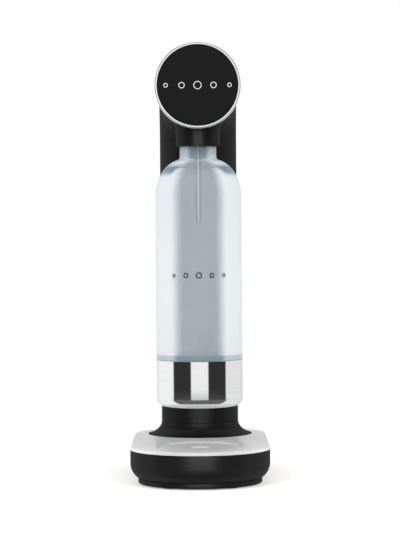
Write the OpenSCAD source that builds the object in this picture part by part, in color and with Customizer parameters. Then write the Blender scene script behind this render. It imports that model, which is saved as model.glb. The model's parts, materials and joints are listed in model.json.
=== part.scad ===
// Soda carbonator: a long round-ended base, a column that holds the gas cylinder,
// a tap-like head with a turning knob, and a bottle that hangs from a tilting holder.
// The front is -Y, +X is to the right seen from the front, and the origin is on the
// surface that the object stands on, under the middle of the base.

/* [Overall] */
// Width of the base, which is also the diameter of its two round ends
base_w = 140; // [120:1:170]
// Distance from the bottle's axis to the column's axis
axis_gap = 132; // [110:1:160]
// Height to the top of the knob's ring
overall_h = 436; // [360:1:530]

/* [Base] */
// Height of the black base body's top
body_h = 34; // [28:1:45]
// Height of the steel plate above the base body
plate_h = 3; // [2.4:0.2:5]
// Sheet thickness of the steel plate
sheet_t = 1.2; // [0.8:0.1:1.5]
// How far the plinth stands in from the base's side
plinth_inset = 8; // [5:0.5:10]
// Radius of the base's rounded belly
belly_r = 17; // [14:0.5:20]
// Wall of the base body
base_wall = 2.5; // [2:0.1:3.5]
// Diameter of the round recess under the bottle
recess_d = 84; // [70:1:100]
// Depth of the recess, and of the drain dimple in it
recess_depth = 1.5; // [1:0.1:1.6]
// Diameter of the drain dimple
dimple_d = 20; // [16:1:24]
// Thickness of a foot below the plinth
foot_stand = 1; // [0.8:0.1:2]
// Number of screws that hold the base pan
base_screw_count = 6; // [4:2:8]

/* [Column and head] */
// Wall of the column's shells
shell_t = 3; // [2.4:0.1:3.5]
// Gap between the column's spine and its shells
spine_gap = 1.65; // [1.5:0.05:3]
// Radius of the hollow side of the bend between the column and the head
bend_in = 5.25; // [4:0.25:10]
// Radius of the flared foot of the column
flare_r = 14; // [10:0.5:18]
// Gap round the removable rear cover
seam_gap = 0.4; // [0.3:0.1:0.8]

/* [Knob] */
// How far the knob's chrome ring stands out past the head's side
ring_over = 1.5; // [1:0.1:4]
// Width of the ring's front face
ring_w = 2.8; // [2:0.1:5]
// Depth of the knob
knob_depth = 12; // [10:0.5:16]
// Distance from the bottle's axis to the knob's front
knob_reach = 47; // [46:0.5:60]
// Gap between the knob and the head
knob_gap = 1; // [0.6:0.1:2]
// Turn of the knob in degrees
knob_turn = 60; // [40:5:90]
// Travel of the plunger over the whole turn
plunger_travel = 3; // [2:0.1:3.2]
// Diameter of the knob's shaft
shaft_d = 10; // [8:0.5:11]

/* [Bottle] */
// Outside diameter of the bottle
bottle_d = 86; // [72:1:104]
// Wall of the bottle
bottle_wall = 1.6; // [1:0.1:2.5]
// Outside diameter of the bottle's neck
neck_d = 36.5; // [33:0.5:37]
// Wall of the bottle's neck
neck_wall = 3; // [2:0.1:4]
// Height of the bottle's rounded shoulder
shoulder_h = 39; // [30:1:46]
// Height of the steel cup round the bottle's bottom
cup_h = 46.5; // [30:0.5:60]
// Space between the plate and the bottle
bottle_gap = 40; // [37:1:60]

/* [Bottle holder] */
// Outside diameter of the holder's collar
collar_d = 44; // [43:0.5:46]
// Diameter of the holder's ball
ball_d = 52; // [51:0.5:53]
// Forward tilt of the holder in degrees
holder_tilt = 20; // [10:1:24]
// Diameter of the gas nozzle
nozzle_d = 5.5; // [4:0.1:7]
// Length of the nozzle below the neck's top
nozzle_reach = 90; // [60:1:110]
// Diameter of the holder's hinge pins
hinge_pin_d = 6; // [5:0.5:7]

/* [Gas cylinder] */
// Diameter of the gas cylinder
cylinder_d = 60; // [50:1:72]
// Wall of the gas cylinder
cylinder_wall = 2.6; // [2:0.1:4]
// Diameter of the cylinder valve's thread
thread_d = 20.8; // [18:0.1:22]
// Length of the thread in its socket
thread_len = 10; // [8:0.5:11]
// Way that the cylinder drops when it is unscrewed
cylinder_drop = 10; // [8:0.5:11]

/* [Fits] */
// Radial clearance of a shaft or pin in its bearing
run_fit = 0.05; // [0.02:0.01:0.1]
// Radial clearance between pieces that only pass each other
pass_gap = 0.8; // [0.5:0.1:1.2]

/* [Hidden] */
$fn = 96;

black = [0.07, 0.07, 0.075];
dark_plastic = [0.2, 0.2, 0.22];
steel = [0.75, 0.76, 0.78];
chrome = [0.86, 0.87, 0.89];
brass = [0.78, 0.62, 0.3];
rubber = [0.14, 0.14, 0.15];
clear_blue = [0.72, 0.83, 0.88, 0.5];

eps = 0.01;
base_r = base_w / 2;
bottle_y = -axis_gap / 2;
column_y = axis_gap / 2;
plate_z = body_h + plate_h;

// Base levels
plinth_r = base_r - plinth_inset;
belly_z = body_h - 13.5;
belly_end = acos((belly_r - plinth_inset) / belly_r);
plinth_z = belly_z - belly_r * sin(belly_end);
pan_t = 2.5;
pan_z = foot_stand + pan_t;
deck_t = 2.5;
deck_z = body_h - deck_t;
foot_r = 8;
foot_seat = 1;
recess_r = recess_d / 2;
rim_r = 1.4;
boss_r = 4;
screw_r = 1.5;
screw_head_r = 3;
screw_len = 12;

// Column and head
cylinder_r = cylinder_d / 2;
cup_wall = 1.5;
cup_gap = 1.5;
cup_ri = cylinder_r + cup_gap;
cup_r = cup_ri + cup_wall;
spine_ri = cup_r + 0.5;
spine_t = 2.6;
spine_r = spine_ri + spine_t;
spine_back = 7;
column_ri = spine_r + spine_gap;
column_r = column_ri + shell_t;
bend_r = column_r + bend_in;
ring_r = column_r + ring_over;
head_z = overall_h - ring_r;
bend_y = column_y - bend_r;
bend_z = head_z - bend_r;
flare_z = plate_z + flare_r;
knob_front_y = bottle_y - knob_reach;
knob_back_y = knob_front_y + knob_depth;
head_front_y = knob_back_y + knob_gap;
cover_z0 = flare_z + 1;
cover_z1 = bend_z - 4;
magnet_r = 3;
magnet_t = 2;
magnet_x = 15;

// Gas parts
valve_top_z = head_z - 30.75;
block_z = valve_top_z - thread_len;
block_top_z = head_z - 20;
block_r = 14;
block_flange_r = 24;
block_flange_t = 3;
bracket_t = 3;
bracket_z = block_z - bracket_t;
bracket_r = column_ri - 3;
valve_flange_r = 13;
port_r = 1.5;
tube_r = 1.8;
seal_t = 2;
chamber_r = 4;
cup_floor_z = pan_z + 2;
cylinder_z = cup_floor_z + cylinder_drop + 2.5;
valve_flange_z = block_z - 12;
shoulder_r = 30;
pin_r = 1.6;
pin_drop_z = valve_top_z - 0.4;

// Holder
hinge_z = head_z - 25.75;
port_z = hinge_z;
ball_r = ball_d / 2;
collar_r = collar_d / 2;
collar_z = hinge_z - 32;
neck_top_z = collar_z + 14;
neck_r = neck_d / 2;
neck_fit = 0.35;
neck_seal_t = 3;
cheek_x = 17;
ear_t = 4;
ear_gap = 0.4;
ear_x = cheek_x + ear_gap;
hinge_pin_r = hinge_pin_d / 2;
ear_r = hinge_pin_r + 2.3;
holder_top = 12;
holder_half = 14;
rail_z0 = head_z - 22;
rail_z1 = head_z - 16;
wall_drop = hinge_z - head_z + column_r;
tilt_reach = collar_r * cos(holder_tilt) + (wall_drop + collar_r * sin(holder_tilt)) * tan(holder_tilt);
tilt_slot = tilt_reach - collar_r;

// Frame web and the gas line beside it
web_y = column_y - bracket_r + 2.5;
tube_x = ear_x + ear_t + tube_r + 0.2;
tube_bend_r = 8;
tube_bend_y = web_y - 2 * tube_bend_r - 5;
tube_front_y = bottle_y + 3.5;
tube_back_y = column_y - block_r + 1;

// Bottle
bottle_r = bottle_d / 2;
bottle_z = plate_z + bottle_gap;
shoulder_z = neck_top_z - 25 - shoulder_h;
shoulder_in = 14;
neck_fillet = 6;
cup_sheet = 0.8;
cup_top_z = bottle_z + cup_h;
cup_round = 9;

// Shaft and knob
shaft_r = shaft_d / 2;
bush_r = shaft_r + 3;
cam_base_r = 8;
cam_gap = 0.3;
cam_w = 10;
plunger_r = 3;
plunger_head_r = 6;
plunger_top_z = head_z - cam_base_r - cam_gap;
plunger_head_z = plunger_top_z - 4;
disc_groove = 0.4;
disc_r = ring_r - ring_w - disc_groove;
disc_t = 3;
disc_sink = 0.6;

// Points on an arc from angle a0 to a1, both ends included
function arc(cx, cy, r, a0, a1, n = 8) =
  [for (i = [0:n]) let (a = a0 + (a1 - a0) * i / n) [cx + r * cos(a), cy + r * sin(a)]];

// Points on an ellipse's quarter, from its side to its top
function quarter(cx, cy, rx, ry, n = 14) =
  [for (i = [0:n]) let (a = 90 * i / n) [cx + rx * cos(a), cy + ry * sin(a)]];

// ---------- shared shapes ----------

// A solid or ring of the given profile run round the base's outline of two half rounds
module stadium() {
  translate([0, column_y, 0]) rotate_extrude(angle = 180) children();
  translate([0, bottle_y, 0]) rotate([0, 0, 180]) rotate_extrude(angle = 180) children();
  for (side = [0, 1]) mirror([side, 0, 0])
    translate([0, column_y, 0]) rotate([90, 0, 0]) linear_extrude(axis_gap) children();
}

// A 2D slot along Y from the origin, made of round ends and a bar
module slot_2d(r, reach) {
  circle(r);
  translate([0, reach]) circle(r);
  translate([-r, min(0, reach)]) square([2 * r, abs(reach)]);
}

module ring_2d(r, ri) {
  difference() {
    circle(r);
    circle(ri);
  }
}

// Half of a ring: side -1 keeps y below 0, side 1 keeps y above 0
module half_ring_2d(r, ri, side, off = 0) {
  intersection() {
    ring_2d(r, ri);
    translate([-r - 1, side > 0 ? off : -r - 1 - off]) square([2 * r + 2, r + 1]);
  }
}

module tube(r, ri, h) {
  difference() {
    cylinder(r = r, h = h);
    translate([0, 0, -1]) cylinder(r = ri, h = h + 2);
  }
}

// Lays a shape that is drawn upright along +Y, with its foot at y
module along_y(y) {
  translate([0, y, head_z]) rotate([-90, 0, 0]) children();
}

// A screw that points up, with its head's underside at z 0
module screw(len = screw_len, r = screw_r) {
  cylinder(r = r, h = len, $fn = 24);
  translate([0, 0, -1.8]) difference() {
    cylinder(r = 2 * r, h = 1.8, $fn = 32);
    translate([0, 0, -eps]) cylinder(r = r, h = 1, $fn = 6);
  }
}

// A coil spring standing on z 0, swept as one closed surface
module coil(r, wire, h, turns) {
  sides = 6;
  per_turn = 12;
  steps = turns * per_turn;
  rise = h - 2 * wire;
  rings = [for (i = [0:steps], k = [0:sides - 1])
    let (a = 360 * i / per_turn, b = 360 * k / sides, q = r + wire * cos(b))
      [q * cos(a), q * sin(a), wire + rise * i / steps + wire * sin(b)]];
  walls = [for (i = [0:steps - 1], k = [0:sides - 1])
    [i * sides + k, (i + 1) * sides + k,
     (i + 1) * sides + (k + 1) % sides, i * sides + (k + 1) % sides]];
  ends = [[for (k = [0:sides - 1]) k],
          [for (k = [sides - 1:-1:0]) steps * sides + k]];
  polyhedron(points = rings, faces = concat(walls, ends), convexity = 8);
}

// Places for the screws of the base pan, round the base's outline
module at_base_screws() {
  place_r = plinth_r - 9;
  per_end = base_screw_count / 2;
  for (end = [-1, 1], i = [0:per_end - 1]) {
    a = -60 + 120 * i / (per_end - 1);
    translate([place_r * sin(a), end * (axis_gap / 2 + place_r * cos(a)), 0]) children();
  }
}

module at_feet() {
  place = plinth_r - 12;
  for (x = [-1, 1], end = [-1, 1])
    translate([x * place * sin(35), end * (axis_gap / 2 + place * cos(35)), 0]) children();
  for (x = [-1, 1]) translate([x * place, 0, 0]) children();
}

// ---------- base ----------

// Half outline of the base body: inset 0 is its outside, a wall's inset its inside
module base_profile(inset) {
  side = arc(base_r - belly_r, belly_z, belly_r - inset, -belly_end, 0);
  top = inset > 0 ? deck_z : body_h;
  low = inset > 0 ? plinth_z - 2 : plinth_z;
  polygon(concat(
    [[0, low], [side[0][0], low]], side,
    [[base_r - inset, top], [0, top]]
  ));
}

module base_body() {
  color(black) {
    difference() {
      stadium() base_profile(0);
      stadium() base_profile(base_wall);
      translate([0, column_y, deck_z - 1]) cylinder(r = cup_r + 0.3, h = deck_t + 2);
      translate([0, bottle_y, deck_z - 1]) cylinder(r = dimple_d / 2 + 1, h = deck_t + 2);
      spine_screw_places() translate([0, 0, deck_z - 1]) cylinder(r = screw_r + 0.1, h = 5, $fn = 24);
    }
    difference() {
      at_base_screws() translate([0, 0, pan_z]) cylinder(r = boss_r, h = deck_z - pan_z + eps);
      at_base_screws() translate([0, 0, pan_z - 1]) cylinder(r = screw_r, h = screw_len, $fn = 24);
    }
  }
}

module base_pan() {
  color(black) difference() {
    union() {
      translate([0, 0, foot_stand]) stadium() square([plinth_r, pan_t]);
      translate([0, 0, foot_stand]) stadium()
        translate([plinth_r - 2, 0]) square([2, plinth_z - foot_stand]);
    }
    at_base_screws() translate([0, 0, 0]) cylinder(r = screw_r + 0.2, h = 10, $fn = 24);
    at_base_screws() translate([0, 0, 0]) cylinder(r = screw_head_r + 0.3, h = foot_stand + 1.9, $fn = 32);
    at_feet() cylinder(r = foot_r, h = foot_stand + foot_seat);
  }
}

module rubber_feet() {
  color(rubber) at_feet() cylinder(r = foot_r, h = foot_stand + foot_seat);
}

module base_screws() {
  color(steel) at_base_screws() translate([0, 0, foot_stand + 1.9]) screw(len = 10);
}

// Sheet outline of the plate from the axis to its rolled rim
module plate_profile() {
  outer = arc(base_r - rim_r, plate_z - rim_r, rim_r, 0, 90);
  polygon(concat(
    [[0, plate_z - sheet_t], [base_r - rim_r, plate_z - sheet_t],
     [base_r - sheet_t, plate_z - rim_r], [base_r - sheet_t, body_h], [base_r, body_h]],
    outer, [[0, plate_z]]
  ));
}

// A pressed pan in the sheet: its inside is cut and its floor added
module pressing(r, top, depth) {
  translate([0, bottle_y, top - depth - sheet_t]) cylinder(r = r + sheet_t * 0.7, h = depth + sheet_t);
}

module top_plate() {
  floor_z = plate_z - recess_depth;
  color(steel) difference() {
    union() {
      stadium() plate_profile();
      pressing(recess_r, plate_z, recess_depth);
      pressing(dimple_d / 2 - 1, floor_z, recess_depth);
    }
    translate([0, bottle_y, 0]) rotate_extrude() polygon(concat(
      [[0, plate_z + 1], [recess_r + 1, plate_z + 1], [recess_r + 1, plate_z]],
      [[recess_r, plate_z - 0.4], [recess_r - 1, floor_z],
       [dimple_d / 2 - 0.4, floor_z], [dimple_d / 2 - 2.5, floor_z - recess_depth],
       [0, floor_z - recess_depth]]
    ));
    for (a = [90, 210, 330]) translate([0, bottle_y, 0]) rotate([0, 0, a])
      translate([dimple_d / 5, 0, body_h - 5]) cylinder(r = 1.1, h = 8, $fn = 24);
    translate([0, column_y, body_h - 1]) cylinder(r = spine_r + 0.6, h = plate_h + 2);
  }
}

module drain_cup() {
  r = dimple_d / 2 + 4;
  color(dark_plastic) translate([0, bottle_y, 0]) difference() {
    union() {
      translate([0, 0, pan_z + 5]) cylinder(r = r, h = deck_z - pan_z - 5);
      translate([0, 0, deck_z - 1.5]) cylinder(r = r + 4, h = 1.5);
    }
    translate([0, 0, pan_z + 6.5]) cylinder(r = r - 1.5, h = body_h);
  }
}

module cylinder_cup() {
  color(dark_plastic) translate([0, column_y, pan_z]) difference() {
    cylinder(r = cup_r, h = body_h - pan_z);
    translate([0, 0, cup_floor_z - pan_z]) cylinder(r = cup_ri, h = body_h);
  }
}

// ---------- column ----------

module spine_screw_places() {
  place_r = spine_ri + spine_t / 2;
  for (a = [-60, 0, 60]) translate([place_r * sin(a), column_y - place_r * cos(a), 0]) children();
}

module column_spine() {
  color(dark_plastic) difference() {
    translate([0, column_y, body_h]) linear_extrude(bracket_z - body_h)
      half_ring_2d(spine_r, spine_ri, -1, spine_back);
    spine_screw_places() translate([0, 0, body_h - 1]) cylinder(r = 0.8, h = 9, $fn = 24);
  }
}

module spine_screws() {
  color(steel) spine_screw_places() translate([0, 0, deck_z]) {
    cylinder(r = 0.8, h = 9, $fn = 24);
    translate([0, 0, -1.2]) cylinder(r = 1.6, h = 1.2, $fn = 32);
  }
}

// Flared foot of the column: a ring with a hollow curve outside
module column_foot() {
  foot = arc(column_r + flare_r, flare_z, flare_r, 180, 258);
  tip = foot[len(foot) - 1];
  color(black) translate([0, column_y, 0]) rotate_extrude() polygon(concat(
    [[column_ri, plate_z], [column_ri, flare_z]], foot, [[tip[0], plate_z]]
  ));
}

// One side of the bend: side -1 is the inside of the bend, side 1 the outside
module bend_half(r, ri, side) {
  translate([0, bend_y, bend_z]) rotate([90, 0, 90]) rotate_extrude(angle = 90)
    translate([bend_r, 0]) rotate([0, 0, -90]) half_ring_2d(r, ri, side);
}

module head_half(r, ri, side) {
  translate([0, bend_y, head_z]) rotate([90, 0, 0]) linear_extrude(bend_y - head_front_y)
    half_ring_2d(r, ri, side);
}

// Space that the holder's ball and collar sweep through
module holder_way() {
  translate([0, bottle_y, hinge_z]) sphere(r = ball_r + pass_gap);
  translate([0, bottle_y, collar_z]) linear_extrude(hinge_z - collar_z)
    slot_2d(collar_r + pass_gap, -tilt_slot);
}

module shell_screw_places() {
  for (side = [-1, 1], y = [head_front_y + 8, bend_y - 8])
    translate([side * (column_ri - 5), y, head_z]) children();
}

// Screw bosses of the shells, joined to the wall beside them
module shell_bosses(z, h) {
  shell_screw_places() translate([0, 0, z]) cylinder(r = boss_r - 0.8, h = h);
  for (side = [0, 1], y = [head_front_y + 8, bend_y - 8]) mirror([side, 0, 0])
    translate([column_ri - 5, y - 2, head_z + z]) cube([5.5, 4, h]);
}

module front_shell() {
  color(black) translate([0, column_y, flare_z]) linear_extrude(bend_z - flare_z)
    half_ring_2d(column_r, column_ri, -1);
}

module under_shell() {
  color(black) difference() {
    union() {
      bend_half(column_r, column_ri, -1);
      head_half(column_r, column_ri, -1);
      shell_bosses(-8, 8);
    }
    holder_way();
    shell_screw_places() translate([0, 0, -9]) cylinder(r = screw_r, h = 10, $fn = 24);
  }
}

module top_shell() {
  color(black) difference() {
    union() {
      bend_half(column_r, column_ri, 1);
      head_half(column_r, column_ri, 1);
      translate([0, column_y, cover_z1]) linear_extrude(bend_z - cover_z1)
        half_ring_2d(column_r, column_ri, 1);
      shell_bosses(0, 10);
      for (side = [-1, 1]) translate([side * magnet_x, column_y, cover_z1])
        linear_extrude(bend_z - cover_z1) magnet_boss_2d();
    }
    shell_screw_places() translate([0, 0, -1]) cylinder(r = screw_r, h = 8, $fn = 24);
    at_magnets() translate([0, 0, cover_z1 - eps]) cylinder(r = magnet_r, h = magnet_t + eps);
  }
}

module shell_screws() {
  color(steel) shell_screw_places() translate([0, 0, -8]) screw(len = 14);
}

module magnet_boss_2d() {
  y0 = sqrt(pow(column_ri, 2) - pow(magnet_x, 2));
  translate([-magnet_r - 1.5, y0 - 2 * magnet_r - 2]) square([2 * magnet_r + 3, 2 * magnet_r + 3]);
}

module at_magnets() {
  y0 = sqrt(pow(column_ri, 2) - pow(magnet_x, 2));
  for (side = [-1, 1]) translate([side * magnet_x, column_y + y0 - magnet_r - 0.9, 0]) children();
}

module catch_magnets() {
  color(steel) at_magnets() translate([0, 0, cover_z1]) cylinder(r = magnet_r, h = magnet_t);
}

module cover_magnets() {
  color(steel) at_magnets() translate([0, 0, cover_z1 - seam_gap - magnet_t])
    cylinder(r = magnet_r, h = magnet_t);
}

module rear_cover() {
  z1 = cover_z1 - seam_gap;
  lip_in = 2.4;
  lip_t = 1.8;
  lip_root = 2.5;
  color(black) difference() {
    union() {
      translate([0, column_y, cover_z0]) linear_extrude(z1 - cover_z0)
        half_ring_2d(column_r, column_ri, 1, seam_gap);
      for (side = [-1, 1]) translate([side * magnet_x, column_y, z1 - 5])
        linear_extrude(5) magnet_boss_2d();
      for (side = [0, 1]) mirror([side, 0, 0]) translate([column_ri - lip_in, column_y, cover_z0 + 10]) {
        translate([0, -5, 0]) cube([lip_t, 5 + lip_root, z1 - cover_z0 - 20]);
        translate([0, seam_gap, 0]) cube([lip_in + 0.5, lip_root - seam_gap, z1 - cover_z0 - 20]);
      }
    }
    at_magnets() translate([0, 0, z1 - magnet_t]) cylinder(r = magnet_r, h = magnet_t + 1);
  }
}

// ---------- gas system ----------

module valve_screw_places() {
  for (a = [45:90:315]) translate([19 * cos(a), column_y + 19 * sin(a), 0]) children();
}

module valve_bracket() {
  color(steel) difference() {
    translate([0, column_y, bracket_z]) cylinder(r = bracket_r, h = bracket_t);
    translate([0, column_y, bracket_z - 1]) cylinder(r = valve_flange_r + 2, h = bracket_t + 2);
    valve_screw_places() translate([0, 0, bracket_z - 1]) cylinder(r = screw_r, h = 5, $fn = 24);
    frame_screw_places() translate([0, 0, bracket_z - 1]) cylinder(r = screw_r, h = 5, $fn = 24);
  }
}

module valve_block() {
  color(steel) difference() {
    union() {
      translate([0, column_y, block_z]) cylinder(r = block_r, h = block_top_z - block_z);
      translate([0, column_y, block_z]) cylinder(r = block_flange_r, h = block_flange_t);
      translate([0, column_y - block_r + 2, port_z]) rotate([90, 0, 0]) cylinder(r = 5, h = 5);
    }
    translate([0, column_y, block_z - 1]) cylinder(r = thread_d / 2 + run_fit, h = thread_len + seal_t + 1);
    translate([0, column_y, valve_top_z]) cylinder(r = chamber_r, h = port_z + port_r - valve_top_z + 1);
    translate([0, column_y, valve_top_z]) cylinder(r = plunger_r + run_fit, h = 30);
    translate([0, column_y, block_top_z - 3.2]) cylinder(r = plunger_r + 1.4, h = 1.9);
    translate([0, column_y, port_z]) rotate([90, 0, 0]) cylinder(r = port_r, h = 30, $fn = 32);
    translate([0, column_y - block_r - 3 + 4, port_z]) rotate([90, 0, 0]) cylinder(r = tube_r + run_fit, h = 20);
    translate([0, column_y, port_z]) rotate([0, 90, 0]) cylinder(r = port_r, h = 30, $fn = 32);
    translate([block_r - 5, column_y, port_z]) rotate([0, 90, 0]) cylinder(r = 3, h = 10, $fn = 32);
    valve_screw_places() translate([0, 0, block_z - 1]) cylinder(r = screw_r + 0.1, h = 6, $fn = 24);
  }
}

module valve_block_screws() {
  color(steel) valve_screw_places()
    translate([0, 0, block_z + block_flange_t]) rotate([180, 0, 0]) screw(len = 6);
}

module burst_disc() {
  color(brass) translate([block_r - 5, column_y, port_z]) rotate([0, 90, 0]) {
    cylinder(r = 3, h = 5, $fn = 32);
    translate([0, 0, 5]) difference() {
      cylinder(r = 4.5, h = 4, $fn = 6);
      translate([0, 0, 2]) cylinder(r = 1.2, h = 3, $fn = 24);
    }
  }
}

module plunger_seal() {
  color(rubber) translate([0, column_y, block_top_z - 3.2]) tube(plunger_r + 1.4, plunger_r + run_fit, 1.9);
}

module plunger() {
  color(steel) translate([0, column_y, 0]) {
    translate([0, 0, pin_drop_z + 0.2]) cylinder(r = 2.2, h = 6);
    translate([0, 0, pin_drop_z + 6]) cylinder(r = plunger_r, h = plunger_head_z - pin_drop_z - 6);
    translate([0, 0, plunger_head_z]) cylinder(r = plunger_head_r, h = 1.6);
    intersection() {
      translate([0, 0, plunger_top_z - 5]) sphere(r = 5);
      translate([0, 0, plunger_head_z + 1]) cylinder(r = 6, h = 6);
    }
  }
}

module plunger_spring() {
  color(steel) translate([0, column_y, block_top_z]) coil(4.6, 0.5, plunger_head_z - block_top_z, 4);
}

module cylinder_seal() {
  color(rubber) translate([0, column_y, valve_top_z + 0.05]) tube(thread_d / 2 - 0.3, chamber_r + 0.2, seal_t - 0.25);
}

// Outline of the cylinder from its foot to the top of its neck
function cylinder_outline(inset) =
  let (r = cylinder_r - inset, z0 = cylinder_z + inset, neck = 13.5,
       top = valve_flange_z - 10, foot_round = 8 - inset)
    concat([[0, z0]],
           arc(r - foot_round, z0 + foot_round, foot_round, -90, 0),
           quarter(neck - inset, top - shoulder_r - 0.8 * inset, r - neck + inset, shoulder_r));

module gas_cylinder() {
  neck = 13.5;
  top = valve_flange_z - 10;
  color(steel) translate([0, column_y, 0]) difference() {
    union() {
      rotate_extrude() polygon(concat(cylinder_outline(0), [[0, top]]));
      translate([0, 0, top - 1]) cylinder(r = neck, h = 11);
    }
    rotate_extrude() polygon(concat(cylinder_outline(cylinder_wall), [[0, top - 0.8 * cylinder_wall]]));
    translate([0, 0, top - 15]) cylinder(r = 9, h = 30);
  }
}

module cylinder_valve() {
  color(brass) translate([0, column_y, 0]) difference() {
    union() {
      translate([0, 0, valve_flange_z - 20]) cylinder(r = 9, h = 20);
      translate([0, 0, valve_flange_z]) cylinder(r = valve_flange_r, h = 12);
      translate([0, 0, block_z - eps]) cylinder(r = thread_d / 2, h = thread_len + eps);
    }
    translate([0, 0, valve_top_z - 5]) cylinder(r = 3.4, h = 6);
    translate([0, 0, valve_top_z - 16]) cylinder(r = pin_r + run_fit, h = 16, $fn = 32);
    translate([0, 0, valve_flange_z - 18]) cylinder(r = 3.4, h = valve_top_z - 10 - valve_flange_z + 18);
    translate([0, 0, valve_flange_z - 21]) cylinder(r = 1.5, h = 5, $fn = 32);
  }
}

module valve_pin() {
  color(steel) translate([0, column_y, 0]) {
    translate([0, 0, valve_top_z - 16]) cylinder(r = pin_r, h = 15.6, $fn = 32);
    translate([0, 0, valve_top_z - 18]) cylinder(r = 3, h = 4, $fn = 48);
  }
}

module valve_pin_spring() {
  z0 = valve_flange_z - 16;
  color(steel) translate([0, column_y, z0]) coil(2.4, 0.4, valve_top_z - 18 - z0, 6);
}

// ---------- head frame ----------

module frame_screw_places() {
  for (side = [-1, 1]) translate([side * 13, column_y - bracket_r + 9, 0]) children();
}

module head_frame() {
  y0 = head_front_y + 4;
  y1 = column_y - 12;
  half = ear_x + ear_t;
  web_half = 17;
  color(dark_plastic) difference() {
    union() {
      for (side = [0, 1]) mirror([side, 0, 0]) {
        translate([ear_x, y0, rail_z0]) cube([ear_t, y1 - y0, rail_z1 - rail_z0]);
        translate([ear_x, bottle_y - ear_r, hinge_z]) cube([ear_t, 2 * ear_r, rail_z1 - hinge_z]);
        translate([ear_x, bottle_y, hinge_z]) rotate([0, 90, 0]) cylinder(r = ear_r, h = ear_t);
      }
      translate([-half, y0, rail_z0]) cube([2 * half, 4, rail_z1 - rail_z0]);
      translate([-half, web_y, rail_z1 - 3]) cube([2 * half, y1 - web_y, 3]);
      translate([-web_half, web_y, block_z]) cube([2 * web_half, 3, rail_z1 - block_z]);
      translate([-18, web_y, block_z]) cube([36, 9, 3]);
      translate([-bush_r - 3, y1 - 8, rail_z1 - eps]) cube([2 * bush_r + 6, 8, head_z - rail_z1]);
      along_y(y1 - 8) cylinder(r = bush_r + 3, h = 8);
    }
    along_y(y1 - 20) cylinder(r = bush_r, h = 30);
    along_y(y0 - 20) cylinder(r = bush_r + 2, h = 30);
    translate([0, web_y - 5, port_z]) rotate([-90, 0, 0]) cylinder(r = tube_r + 1, h = 15, $fn = 32);
    translate([-half - 5, bottle_y, hinge_z]) rotate([0, 90, 0]) cylinder(r = hinge_pin_r, h = 2 * half + 10);
    translate([0, column_y, block_z - 1]) cylinder(r = block_flange_r + 0.5, h = block_flange_t + 2);
    frame_screw_places() translate([0, 0, block_z - 1]) cylinder(r = screw_r + 0.1, h = 5, $fn = 24);
  }
}

module frame_screws() {
  color(steel) frame_screw_places() translate([0, 0, block_z + 3]) rotate([180, 0, 0]) screw(len = 6);
}

module front_plate() {
  color(dark_plastic) along_y(head_front_y) difference() {
    cylinder(r = column_ri - 0.2, h = 4);
    translate([0, 0, -1]) cylinder(r = bush_r, h = 6);
  }
}

module bush(y, len) {
  color(brass) along_y(y) tube(bush_r, shaft_r + run_fit, len);
}

module front_bearing() {
  bush(head_front_y, 6);
}

module rear_bearing() {
  bush(column_y - 20, 8);
}

module knob_spring() {
  color(steel) along_y(head_front_y + 10) coil(shaft_r + 2.2, 0.6, 14, 5);
}

// ---------- gas line to the holder ----------

// The gas line in plan: straight back, a quarter left, straight across, a quarter right
module gas_tube() {
  color(dark_plastic) translate([0, 0, port_z]) {
    translate([tube_x, tube_front_y, 0]) rotate([-90, 0, 0])
      cylinder(r = tube_r, h = tube_bend_y - tube_front_y);
    translate([tube_x - tube_bend_r, tube_bend_y, 0]) rotate_extrude(angle = 90)
      translate([tube_bend_r, 0]) circle(tube_r);
    translate([tube_bend_r, tube_bend_y + tube_bend_r, 0]) rotate([0, 90, 0])
      cylinder(r = tube_r, h = tube_x - 2 * tube_bend_r);
    translate([tube_bend_r, tube_bend_y + 2 * tube_bend_r, 0]) rotate([0, 0, 180])
      rotate_extrude(angle = 90) translate([tube_bend_r, 0]) circle(tube_r);
    translate([0, tube_bend_y + 2 * tube_bend_r, 0]) rotate([-90, 0, 0])
      cylinder(r = tube_r, h = tube_back_y - tube_bend_y - 2 * tube_bend_r);
  }
}

module tube_nuts() {
  color(brass) {
    translate([0, column_y - block_r - 3, port_z]) rotate([90, 0, 0]) tube(4, tube_r + run_fit, 5);
    translate([tube_x, tube_front_y + 2.2, port_z]) rotate([-90, 0, 0]) tube(2.8, tube_r + run_fit, 5);
  }
}

module swivel_union() {
  x0 = cheek_x - 5;
  color(brass) difference() {
    union() {
      translate([x0, bottle_y, hinge_z]) rotate([0, 90, 0]) cylinder(r = hinge_pin_r, h = tube_x - x0);
      translate([ear_x + ear_t, bottle_y - 3.5, hinge_z - 2]) cube([2 * tube_r + 0.2, 7, 4.4]);
    }
    translate([x0 - 1, bottle_y, hinge_z]) rotate([0, 90, 0]) cylinder(r = 1, h = tube_x - x0 + 1, $fn = 24);
    translate([tube_x, bottle_y, hinge_z]) rotate([-90, 0, 0]) cylinder(r = 1, h = 5, $fn = 24);
  }
}

module hinge_pin() {
  color(steel) translate([-ear_x - ear_t, bottle_y, hinge_z]) rotate([0, 90, 0])
    cylinder(r = hinge_pin_r, h = ear_t + 5);
}

// ---------- knob ----------

module knob_disc() {
  color(black) along_y(knob_front_y + disc_sink) rotate_extrude() polygon(concat(
    [[0, disc_t], [disc_r, disc_t]], arc(disc_r - 0.8, 0.8, 0.8, 0, -90), [[0, 0]]
  ));
}

module knob_ring() {
  color(chrome) along_y(knob_front_y) rotate_extrude() polygon(concat(
    [[ring_r - ring_w, knob_depth], [ring_r, knob_depth]],
    arc(ring_r - 1, 1, 1, 0, -90),
    arc(ring_r - ring_w + 0.6, 0.6, 0.6, -90, -180)
  ));
}

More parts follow.
